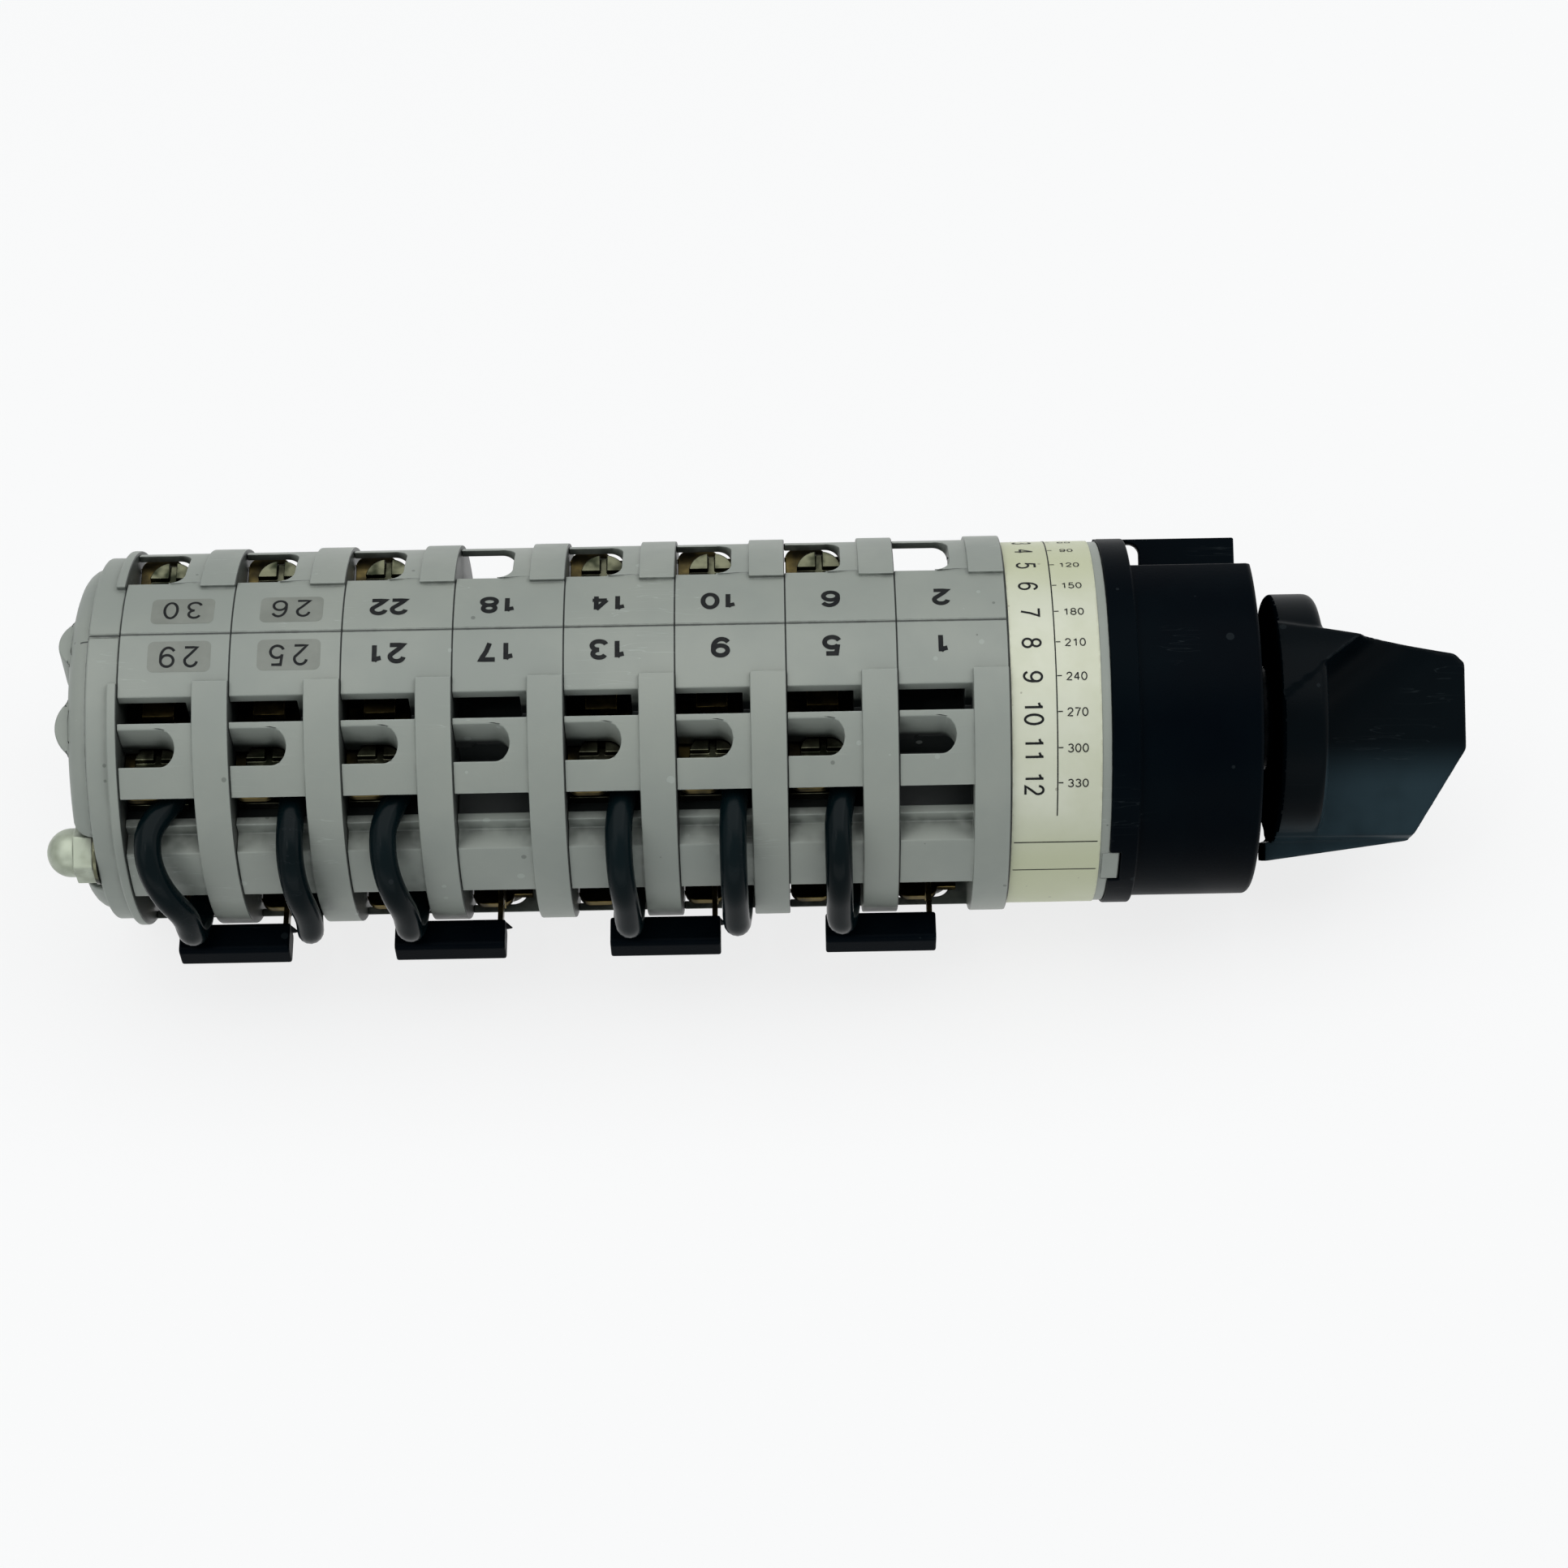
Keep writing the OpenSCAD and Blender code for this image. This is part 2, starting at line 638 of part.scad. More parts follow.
module rear_cover() color([0.58, 0.61, 0.58]) difference() {
    union() {
        turned(concat([[0, stack_rear_x], [band_r, stack_rear_x], [band_r, stack_rear_x - rear_band_len],
            [rear_r, stack_rear_x - rear_band_len], [rear_r, rim_rear_x], [hub_r, rim_rear_x]],
            [for (a = [0 : 15 : 90]) [hub_r - hub_round + hub_round * cos(a),
                rim_rear_x - hub_len + hub_round - hub_round * sin(a)]], [[0, rim_rear_x - hub_len]]));
        half_turns() for (phi = lobe_angles) rotate([-phi, 0, 0])
            translate([rim_rear_x - hub_len - lobe_h + lobe_r, 0, lobe_in])
                cylinder(h = lobe_out - lobe_in, r = lobe_r);
    }
    half_turns() {
        rod_x(rim_rear_x - hub_len - far, hub_len + far, nut_room, -rod_y, rod_z);
        block([rim_rear_x - hub_len - far, -far, rod_z - nut_room],
            [rim_rear_x, -rod_y, rod_z + nut_room]);
        rod_x(rim_rear_x - 1, rim_len + 2, rod_r + gap, -rod_y, rod_z);
        difference() {
            block([rim_rear_x, -band_gap_left, 0], [stack_rear_x + 1, band_gap_right, far]);
            rod_x(rim_rear_x - 1, rim_len + 3, rear_r);
        }
        block([rim_rear_x - 1, seam_y - seam_w / 2, rear_r - seam_depth],
            [stack_rear_x + 1, seam_y + seam_w / 2, far]);
    }
    rod_x(rim_rear_x - hub_len + rear_wall, rim_len + hub_len, rear_pin_r + journal_gap);
}

module index_housing() color([0.6, 0.63, 0.6]) difference() {
    union() {
        rod_x(stack_front_x, index_len, index_r - label_t);
        intersection() {
            rod_x(front_rear_x - 1, lug_len + 1, index_r);
            rotate([-lug_phi, 0, 0])
                block([front_rear_x - 1, -lug_w / 2, lug_in], [front_rear_x + lug_len, lug_w / 2, far]);
        }
    }
    rod_x(stack_front_x - 1, index_len - index_wall + 1, star_r + star_room);
    rod_x(stack_front_x, index_len + 1, journal_r + gap);
    block([stack_front_x - 1, -roller_r - gap, -detent_room], [star_x1, roller_r + gap, detent_room]);
    half_turns() rod_x(stack_front_x - 1, index_len + lug_len + 2, rod_r + gap, -rod_y, rod_z);
}

module rating_label() color([0.9, 0.9, 0.8]) translate([stack_front_x + label_margin, 0, 0])
    rotate([90, 0, 90]) rotate(90 - label_to) rotate_extrude(angle = label_to - label_from)
        translate([index_r - label_t, 0]) square([label_t, index_len - label_margin - label_rim]);

// Star wheel with a valley for each switch position
module star_wheel() color([0.85, 0.83, 0.76]) difference() {
    rod_x(star_x0, star_x1 - gap - star_x0, star_r);
    for (i = [1 : positions]) rotate([360 / positions * i, 0, 0])
        rod_x(star_x0 - 1, star_x1 - star_x0 + 2, roller_r + gap, 0, roller_z);
    square_bar(star_x0 - 1, star_x1 + 1, shaft_af / 2 + journal_gap);
}

// Sprung slide with a round nose that drops into the valleys
module detent_roller() color([0.5, 0.5, 0.52]) {
    rod_x(star_x0, star_x1 - gap - star_x0, roller_r, 0, roller_z);
    block([star_x0, -roller_r, roller_z], [star_x1 - gap, roller_r, slide_top]);
}
module detent_roller_top() detent_roller();
module detent_roller_bottom() rotate([180, 0, 0]) detent_roller();
module detent_spring() color([0.75, 0.75, 0.78])
    translate([(star_x0 + star_x1) / 2, 0, slide_top])
        coil(detent_room - slide_top, detent_coil_r, spring_wire, detent_turns);
module detent_spring_top() detent_spring();
module detent_spring_bottom() rotate([180, 0, 0]) detent_spring();

module front_housing() color([0.07, 0.09, 0.1]) difference() {
    union() {
        difference() {
            turned([[0, front_rear_x], [barrel_r, front_rear_x], [barrel_r, -front_bevel],
                [barrel_r - front_bevel, 0], [0, 0]]);
            rotate([-flat_phi, 0, 0]) block([front_rear_x - 1, -far, flat_dist], [1, far, far]);
        }
        rod_x(front_rear_x, collar_len, collar_r);
        rotate([-rib_phi, 0, 0]) difference() {
            block([front_rear_x, -rib_t / 2, barrel_in], [-front_bevel, rib_t / 2, rib_r]);
            block([front_rear_x + collar_len, -far, flat_dist],
                [rib_hole_x - rib_hole_r, far, rib_r - rib_bridge]);
            block([front_rear_x + collar_len, -far, flat_dist],
                [rib_hole_x, far, rib_r - rib_bridge - rib_hole_r]);
            translate([rib_hole_x - rib_hole_r, 0, rib_r - rib_bridge - rib_hole_r]) rotate([90, 0, 0])
                cylinder(h = far, r = rib_hole_r, center = true);
        }
    }
    difference() {
        rod_x(front_rear_x - 1, front_len - front_wall + 1, barrel_in);
        rod_x(front_rear_x + boss_depth, front_len, bush_r + boss_wall);
        for (z = [-1, 1]) rod_x(-panel_hole_len - boss_wall, far, panel_hole_r + boss_wall,
            0, z * panel_screw_pitch / 2);
        half_turns() rod_x(front_rear_x, front_len, rod_r + boss_wall, -rod_y, rod_z);
    }
    rod_x(front_rear_x - 1, front_len + 2, bush_r);
    for (z = [-1, 1]) rod_x(-panel_hole_len, far, panel_hole_r, 0, z * panel_screw_pitch / 2);
    half_turns() rod_x(front_rear_x - 1, rod_front_x - front_rear_x + 2, rod_r + gap, -rod_y, rod_z);
    rotate([-lug_phi, 0, 0]) block([front_rear_x - 1, -lug_w / 2 - gap, lug_in - gap],
        [front_rear_x + lug_len + gap, lug_w / 2 + gap, far]);
}

module bearing_bush() color([0.8, 0.66, 0.36]) difference() {
    rod_x(front_rear_x + boss_depth, front_len - boss_depth, bush_r);
    rod_x(front_rear_x, front_len + 1, journal_r + journal_gap);
}

module shaft() color([0.75, 0.75, 0.76]) {
    rod_x(rear_pin_x, stack_rear_x + 2 * gap - rear_pin_x, rear_pin_r);
    square_bar(stack_rear_x + gap, star_x1, shaft_af / 2);
    difference() {
        rod_x(star_x1 - eps, -star_x1, journal_r);
        rod_x(clip_x - clip_t / 2 - gap, clip_t + 2 * gap, journal_r + 1);
    }
    rod_x(clip_x - clip_t / 2 - 2 * gap, clip_t + 4 * gap, journal_r - clip_groove);
    difference() {
        square_bar(-eps, shaft_front_x, shaft_af / 2);
        rod_x(shaft_front_x - screw_hole_len, screw_hole_len + 1, knob_screw_r + gap);
    }
}
module shaft_clip() color([0.4, 0.4, 0.42]) difference() {
    rod_x(clip_x - clip_t / 2, clip_t, journal_r + clip_rim);
    rod_x(clip_x - clip_t, 2 * clip_t, journal_r - clip_groove + gap);
    block([clip_x - clip_t, 0, -clip_mouth], [clip_x + clip_t, far, clip_mouth]);
}

// Grip of the knob, drawn with its pointer at +Z
module knob_side() {
    polygon([[knob_gap, -tail_r], [knob_gap + disc_t, tail_fall - tail_r],
        [grip_front - grip_break, -tail_front], [grip_front, grip_break - tail_front],
        [grip_front, nose_z], [chamfer_x, pointer_r - pointer_fall], [pointer_back, pointer_r],
        [pointer_back, disc_r + gap], [knob_gap, disc_r + gap]]);
}
module knob_blade() {
    intersection() {
        translate([0, far, 0]) rotate([90, 0, 0]) linear_extrude(2 * far) knob_side();
        along_x(pointer_back, grip_front) polygon([[-blade_half, -disc_r], [blade_half, -disc_r],
            [blade_half, nose_start], [nose_half, pointer_r], [-nose_half, pointer_r],
            [-blade_half, nose_start]]);
        translate([0, 0, -far]) linear_extrude(2 * far) polygon([[0, -blade_half],
            [knob_gap + disc_t, -blade_half], [grip_front, -front_half], [grip_front, front_half],
            [knob_gap + disc_t, blade_half], [0, blade_half]]);
    }
}
// Flank on the tail half, scooped on both sides down to the blade
module knob_flank() {
    difference() {
        intersection() {
            rod_x(knob_gap, grip_front, disc_r + flank_step);
            translate([0, far, 0]) rotate([90, 0, 0]) linear_extrude(2 * far) knob_side();
        }
        for (side = [-1, 1]) rotate([0, -scoop_tilt, 0]) {
            translate([scoop_n, side * (blade_half + scoop_r), -far]) cylinder(h = 2 * far, r = scoop_r);
            translate([scoop_n, side > 0 ? blade_half : -far, -far]) cube([far, far - blade_half, 2 * far]);
            translate([scoop_n - scoop_r, side > 0 ? blade_half + scoop_r : -far, -far])
                cube([far, far - blade_half - scoop_r, 2 * far]);
        }
    }
}
module knob() color([0.06, 0.07, 0.08]) rotate([-knob_phi, 0, 0]) difference() {
    union() {
        turned(concat([[0, knob_gap], [disc_r - disc_break, knob_gap], [disc_r, knob_gap + disc_break]],
            [for (a = [0 : 15 : 90]) [disc_r - disc_round * (1 - cos(a)),
                knob_gap + disc_t - disc_round * (1 - sin(a))]], [[0, knob_gap + disc_t]]));
        knob_blade();
        knob_flank();
        rod_x(sleeve_x, knob_gap - sleeve_x + eps, sleeve_r);
    }
    block([0, -shaft_room, -shaft_room], [knob_gap + eps, shaft_room, shaft_room]);
    block([knob_gap, -insert_half, -insert_half], [insert_x1 + gap, insert_half, insert_half]);
    rod_x(insert_x1, grip_front, screw_room_r);
}
module knob_insert() color([0.8, 0.8, 0.8]) difference() {
    square_bar(knob_gap, insert_x1, insert_half);
    square_bar(0, shaft_front_x + gap, shaft_af / 2 + journal_gap);
    rod_x(0, far, knob_screw_r + gap);
}
module knob_screw() color([0.7, 0.7, 0.7]) difference() {
    union() {
        rod_x(insert_x1, knob_head_h, knob_head_r);
        rod_x(shaft_front_x - screw_hole_len + 1, insert_x1 - shaft_front_x + screw_hole_len, knob_screw_r);
    }
    block([insert_x1 + knob_head_h - knob_slot_d, -knob_slot_w / 2, -far], [far, knob_slot_w / 2, far]);
}

// Angles of the notches of each cam
cam_notches = [[60, 240], [90, 270, 300], [120], [30, 210], [60, 150, 330], [90, 300], [120, 240],
    [30, 270]];
for (k = [1 : decks]) {
    deck(k);
    cam(k, cam_notches[k - 1]);
}
for (k = wired_decks) jumper_wire(k);
fixed_contacts();
terminal_screws();
clamp_plates();
contact_bridges();
contact_plungers();
contact_springs();
link_bars();
link_caps();
tie_rods();
cap_nuts();
nut_washers();
rear_cover();
index_housing();
rating_label();
star_wheel();
detent_roller_top();
detent_roller_bottom();
detent_spring_top();
detent_spring_bottom();
front_housing();
bearing_bush();
shaft();
shaft_clip();
knob();
knob_insert();
knob_screw();
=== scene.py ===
# %% [markdown]
# # A cam switch on a plain pale floor
# A cam switch is a stack of moulded contact decks on one square shaft. A knob turns the shaft, and a cam in
# each deck opens and closes the contacts. The CAD frame already has every piece in its place, so this lesson
# dresses the pieces: rounded edges, finishes, printed numbers, a ruled label and bent wires.

# %% Load the frame and note its size
import json
import math
import bmesh
import bpy
from mathutils import Matrix, Vector


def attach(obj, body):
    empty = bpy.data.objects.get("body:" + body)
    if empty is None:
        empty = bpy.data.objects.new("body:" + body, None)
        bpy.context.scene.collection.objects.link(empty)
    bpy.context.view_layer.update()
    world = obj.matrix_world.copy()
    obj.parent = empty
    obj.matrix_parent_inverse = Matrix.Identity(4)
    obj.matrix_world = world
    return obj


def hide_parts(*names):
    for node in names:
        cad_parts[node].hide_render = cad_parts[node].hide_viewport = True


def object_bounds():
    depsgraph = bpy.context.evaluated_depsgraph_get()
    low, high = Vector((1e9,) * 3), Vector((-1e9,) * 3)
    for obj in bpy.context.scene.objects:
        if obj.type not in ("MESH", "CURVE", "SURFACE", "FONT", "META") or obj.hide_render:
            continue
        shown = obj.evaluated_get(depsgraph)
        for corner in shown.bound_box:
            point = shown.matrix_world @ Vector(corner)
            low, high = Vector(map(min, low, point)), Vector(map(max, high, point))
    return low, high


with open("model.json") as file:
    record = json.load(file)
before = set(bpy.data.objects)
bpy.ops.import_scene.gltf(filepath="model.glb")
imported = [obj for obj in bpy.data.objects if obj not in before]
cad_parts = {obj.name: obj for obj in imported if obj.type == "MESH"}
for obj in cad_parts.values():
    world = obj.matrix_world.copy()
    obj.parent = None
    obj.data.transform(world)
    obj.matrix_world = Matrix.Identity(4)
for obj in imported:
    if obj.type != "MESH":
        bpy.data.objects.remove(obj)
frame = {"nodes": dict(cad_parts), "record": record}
cad_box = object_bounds()
MM = 0.001
print("CAD nodes:", len(frame["nodes"]))
print("CAD box:", [[round(v / MM, 1) for v in corner] for corner in cad_box])

# %% [markdown]
# The camera comes first, because every later choice is judged in its picture. A lens of 86 mm half a metre
# away gives the mild perspective of a catalogue picture. The object lies on its side and the camera looks
# down at 59 degrees, so we build the camera's own three axes and turn them a little about the view line.

# %% Camera
VIEW_BACK = Vector((0, -0.5151, 0.8571))
VIEW_UP = Vector((0, 0.8571, 0.5151))
ROLL = 0.0181
LENS = 86.1
AIM_X, DISTANCE, DROP = -61.54, 502.4, 7.7
camera_data = bpy.data.cameras.new("Picture camera")
camera_data.lens = LENS
camera_data.sensor_width = 36
camera_data.clip_start = 0.01
camera = bpy.data.objects.new("Picture camera", camera_data)
side = Vector((1, 0, 0)) * math.cos(ROLL) - VIEW_UP * math.sin(ROLL)
up = Vector((1, 0, 0)) * math.sin(ROLL) + VIEW_UP * math.cos(ROLL)
place = Vector((AIM_X, 0, 0)) * MM + VIEW_BACK * DISTANCE * MM - VIEW_UP * DROP * MM
rows = [(side[i], up[i], VIEW_BACK[i], place[i]) for i in range(3)]
camera.matrix_world = Matrix(rows + [(0, 0, 0, 1)])
bpy.context.scene.collection.objects.link(camera)
bpy.context.scene.camera = camera
print("Camera at", [round(v / MM) for v in place], "mm")

# %% [markdown]
# The light is that of a small photo tent: one wide soft lamp overhead, weaker ones at the sides, and a small
# one by the camera that puts glints on screws and wires. The world is dim, which keeps the black plastics
# black. The background is white for the camera and in reflections, by way of the Light Path node, so no lamp
# has to burn the object out to make the picture's ground white.

# %% World
scene = bpy.context.scene
scene.view_settings.view_transform = "Standard"
DIM_COLOUR, DIM_LEVEL = (0.7, 0.88, 1, 1), 0.15
world = bpy.data.worlds.new("Photo tent")
scene.world = world
world.use_nodes = True
tree = world.node_tree
tree.nodes.clear()
seen = tree.nodes.new("ShaderNodeBackground")
seen.inputs["Color"].default_value = (1, 1, 1, 1)
dim = tree.nodes.new("ShaderNodeBackground")
dim.inputs["Color"].default_value = DIM_COLOUR
dim.inputs["Strength"].default_value = DIM_LEVEL
mix = tree.nodes.new("ShaderNodeMixShader")
out = tree.nodes.new("ShaderNodeOutputWorld")


def looks_on(tree):
    """Gives 1 where a ray comes from the camera, a reflection or clear matter, and 0 elsewhere."""
    ray = tree.nodes.new("ShaderNodeLightPath")
    total = ray.outputs["Is Camera Ray"]
    for label in ("Is Glossy Ray", "Is Transmission Ray"):
        most = tree.nodes.new("ShaderNodeMath")
        most.operation = "MAXIMUM"
        tree.links.new(total, most.inputs[0])
        tree.links.new(ray.outputs[label], most.inputs[1])
        total = most.outputs[0]
    return total


tree.links.new(looks_on(tree), mix.inputs["Fac"])
tree.links.new(dim.outputs[0], mix.inputs[1])
tree.links.new(seen.outputs[0], mix.inputs[2])
tree.links.new(mix.outputs[0], out.inputs["Surface"])
print("World:", world.name)

# %% [markdown]
# A large lamp close to an object gives soft shadows, as the light comes from many sides at once. All lamps
# but the smallest are larger than the switch, and the overhead one does most of the work.

# %% Lamps
def soft_lamp(name, place_mm, target_mm, size_mm, watts):
    """An oblong area lamp that looks at a point."""
    data = bpy.data.lights.new(name, "AREA")
    data.shape = "RECTANGLE"
    data.size, data.size_y = size_mm[0] * MM, size_mm[1] * MM
    data.energy = watts
    lamp = bpy.data.objects.new(name, data)
    lamp.location = Vector(place_mm) * MM
    aim = Vector(target_mm) * MM - lamp.location
    lamp.rotation_euler = aim.to_track_quat("-Z", "Y").to_euler()
    scene.collection.objects.link(lamp)


soft_lamp("Lamp overhead", (-60, 160, 800), (-60, 0, 0), (1500, 800), 6.9)
soft_lamp("Lamp at the front", (-60, -640, 80), (-60, 0, 0), (1200, 300), 1.2)
soft_lamp("Lamp by the knob", (460, 60, 330), (-20, 0, 0), (400, 600), 0.6)
soft_lamp("Lamp by the rear", (-440, -240, 380), (-140, 0, 0), (300, 300), 0.3)
soft_lamp("Lamp by the camera", (-230, -200, 480), (-60, 0, 0), (40, 40), 0.1)

# %% [markdown]
# The floor is a sheet of pale paper just under the switch. For the camera and in reflections most of it
# glows white, and the rest is matt and takes the shadow, so the ground is white and the switch still stands
# on something.

# %% Floor
FLOOR_Z = cad_box[0][2]
FLOOR_GAP = 0.0002
FLOOR_HALF = 3
PAPER = (0.86, 0.87, 0.87, 1)
WHITE_SHARE = 0.8
floor_mesh = bpy.data.meshes.new("Floor")
form = bmesh.new()
bmesh.ops.create_grid(form, x_segments=8, y_segments=8, size=FLOOR_HALF)
form.to_mesh(floor_mesh)
form.free()
floor = bpy.data.objects.new("Floor", floor_mesh)
floor.location.z = FLOOR_Z - FLOOR_GAP
scene.collection.objects.link(floor)
paper = bpy.data.materials.new("Floor paper")
paper.use_nodes = True
tree = paper.node_tree
tree.nodes.clear()
matt = tree.nodes.new("ShaderNodeBsdfDiffuse")
matt.inputs["Color"].default_value = PAPER
white = tree.nodes.new("ShaderNodeEmission")
share = tree.nodes.new("ShaderNodeMath")
share.operation = "MULTIPLY"
share.inputs[1].default_value = WHITE_SHARE
mix = tree.nodes.new("ShaderNodeMixShader")
out = tree.nodes.new("ShaderNodeOutputMaterial")
tree.links.new(looks_on(tree), share.inputs[0])
tree.links.new(share.outputs[0], mix.inputs["Fac"])
tree.links.new(matt.outputs[0], mix.inputs[1])
tree.links.new(white.outputs[0], mix.inputs[2])
tree.links.new(mix.outputs[0], out.inputs["Surface"])
floor_mesh.materials.append(paper)
print("Floor at z", round(FLOOR_Z / MM, 2), "mm")

# %% [markdown]
# The finishes share a few effects: uneven tone, moulding grain, worn edges, dust specks and fine scratches.
# Each effect is a node group, built once and then placed in every finish with its own values. A group puts
# out only masks and heights that change over the surface, and the shader itself stays in the material.

# %% A helper that opens a node group
def new_group(title, inputs, outputs):
    """A shader group with named float sockets, and its two end nodes."""
    group = bpy.data.node_groups.new(title, "ShaderNodeTree")
    for label, value in inputs:
        socket = group.interface.new_socket(name=label, in_out="INPUT", socket_type="NodeSocketFloat")
        socket.default_value = value
    for label in outputs:
        group.interface.new_socket(name=label, in_out="OUTPUT", socket_type="NodeSocketFloat")
    return group, group.nodes.new("NodeGroupInput"), group.nodes.new("NodeGroupOutput")


def add(tree, kind, **settings):
    """A new node with its properties set."""
    node = tree.nodes.new(kind)
    for key, value in settings.items():
        setattr(node, key, value)
    return node


def calc(tree, operation, first, second=None, clamp=False):
    """A math node fed by sockets or plain numbers. It gives back its output."""
    node = add(tree, "ShaderNodeMath", operation=operation, use_clamp=clamp)
    for socket, value in zip(node.inputs, (first, second)):
        if isinstance(value, (int, float)):
            socket.default_value = value
        elif value is not None:
            tree.links.new(value, socket)
    return node.outputs[0]


def ramp(tree, value, low, high, to_low=0.0, to_high=1.0):
    """Spreads the stretch of a value from low to high over a new range."""
    node = add(tree, "ShaderNodeMapRange", interpolation_type="SMOOTHSTEP")
    for label, number in (("From Min", low), ("From Max", high), ("To Min", to_low), ("To Max", to_high)):
        node.inputs[label].default_value = number
    tree.links.new(value, node.inputs["Value"])
    return node.outputs[0]


print("Node helpers ready")

# %% [markdown]
# Moulded plastic is never one even tone. A slow noise gives the cloudy drift of a part that came out of its
# mould and was handled for years, and a fast one gives the spark-eroded grain of the mould itself.

# %% Group: moulded skin
skin, enter, leave = new_group("Moulded skin", [("Cloud scale", 60), ("Grain scale", 2400)],
                               ["Cloud", "Grain"])
where = add(skin, "ShaderNodeTexCoord")
cloud = add(skin, "ShaderNodeTexNoise")
cloud.inputs["Detail"].default_value = 4
cloud.inputs["Roughness"].default_value = 0.6
grain = add(skin, "ShaderNodeTexNoise")
grain.inputs["Detail"].default_value = 2
for texture, label in ((cloud, "Cloud scale"), (grain, "Grain scale")):
    skin.links.new(where.outputs["Object"], texture.inputs["Vector"])
    skin.links.new(enter.outputs[label], texture.inputs["Scale"])
skin.links.new(ramp(skin, cloud.outputs["Fac"], 0.3, 0.7), leave.inputs["Cloud"])
skin.links.new(grain.outputs["Fac"], leave.inputs["Grain"])
print("Group:", skin.name)

# %% [markdown]
# Edges are touched most, so they are rubbed smooth and pale. The Bevel node bends the normal near an edge.
# Where that bent normal leaves the real one we are close to an edge, and a noise breaks the band up.

# %% Group: worn edges
COSINE_FLAT, COSINE_EDGE = 0.985, 0.9
wear, enter, leave = new_group("Worn edges", [("Width", 0.0004), ("Break-up scale", 900)], ["Mask"])
bent = add(wear, "ShaderNodeBevel", samples=6)
real = add(wear, "ShaderNodeNewGeometry")
cosine = add(wear, "ShaderNodeVectorMath", operation="DOT_PRODUCT")
where = add(wear, "ShaderNodeTexCoord")
breakup = add(wear, "ShaderNodeTexNoise")
wear.links.new(enter.outputs["Width"], bent.inputs["Radius"])
wear.links.new(bent.outputs["Normal"], cosine.inputs[0])
wear.links.new(real.outputs["Normal"], cosine.inputs[1])
wear.links.new(where.outputs["Object"], breakup.inputs["Vector"])
wear.links.new(enter.outputs["Break-up scale"], breakup.inputs["Scale"])
near_edge = ramp(wear, cosine.outputs["Value"], COSINE_FLAT, COSINE_EDGE)
broken = ramp(wear, breakup.outputs["Fac"], 0.35, 0.6)
wear.links.new(calc(wear, "MULTIPLY", near_edge, broken), leave.inputs["Mask"])
print("Group:", wear.name)

# %% [markdown]
# Dust is a scatter of tiny dots. A Voronoi texture splits space into cells and gives each its own random
# colour. Its red chooses the few cells that hold a dot, and its green says how large that dot is.

# %% Group: dust specks
LARGEST_DOT = 0.3
dust, enter, leave = new_group("Dust specks", [("Scale", 500), ("Share", 0.12)], ["Mask"])
where = add(dust, "ShaderNodeTexCoord")
cells = add(dust, "ShaderNodeTexVoronoi")
dust.links.new(where.outputs["Object"], cells.inputs["Vector"])
dust.links.new(enter.outputs["Scale"], cells.inputs["Scale"])
pick = add(dust, "ShaderNodeSeparateColor")
dust.links.new(cells.outputs["Color"], pick.inputs["Color"])
chosen = calc(dust, "LESS_THAN", pick.outputs["Red"], enter.outputs["Share"])
size = calc(dust, "MULTIPLY", pick.outputs["Green"], LARGEST_DOT)
dot = calc(dust, "LESS_THAN", cells.outputs["Distance"], size)
dust.links.new(calc(dust, "MULTIPLY", chosen, dot), leave.inputs["Mask"])
print("Group:", dust.name)

# %% [markdown]
# Scratches are thin lines. We stretch a noise along one way and keep only the places where it passes its
# middle value, as a contour line on a map does. A second, slower noise keeps them in patches.

# %% Group: fine scratches
STRETCH = 14
LINE_EDGE, LINE_CORE = 0.006, 0.001
scratch, enter, leave = new_group("Fine scratches", [("Scale", 40), ("Turn", 0.4)], ["Mask"])
where = add(scratch, "ShaderNodeTexCoord")
turn = add(scratch, "ShaderNodeCombineXYZ")
lie = add(scratch, "ShaderNodeMapping")
lie.inputs["Scale"].default_value = (1, STRETCH, STRETCH)
lines = add(scratch, "ShaderNodeTexNoise")
lines.inputs["Detail"].default_value = 3
patches = add(scratch, "ShaderNodeTexNoise")
patches.inputs["Scale"].default_value = 70
scratch.links.new(enter.outputs["Turn"], turn.inputs["X"])
scratch.links.new(enter.outputs["Turn"], turn.inputs["Z"])
scratch.links.new(turn.outputs[0], lie.inputs["Rotation"])
scratch.links.new(where.outputs["Object"], lie.inputs["Vector"])
scratch.links.new(where.outputs["Object"], patches.inputs["Vector"])
scratch.links.new(lie.outputs[0], lines.inputs["Vector"])
scratch.links.new(enter.outputs["Scale"], lines.inputs["Scale"])
level = calc(scratch, "ABSOLUTE", calc(scratch, "SUBTRACT", lines.outputs["Fac"], 0.5))
thin = ramp(scratch, level, LINE_EDGE, LINE_CORE)
here_only = ramp(scratch, patches.outputs["Fac"], 0.56, 0.66)
scratch.links.new(calc(scratch, "MULTIPLY", thin, here_only), leave.inputs["Mask"])
print("Group:", scratch.name)
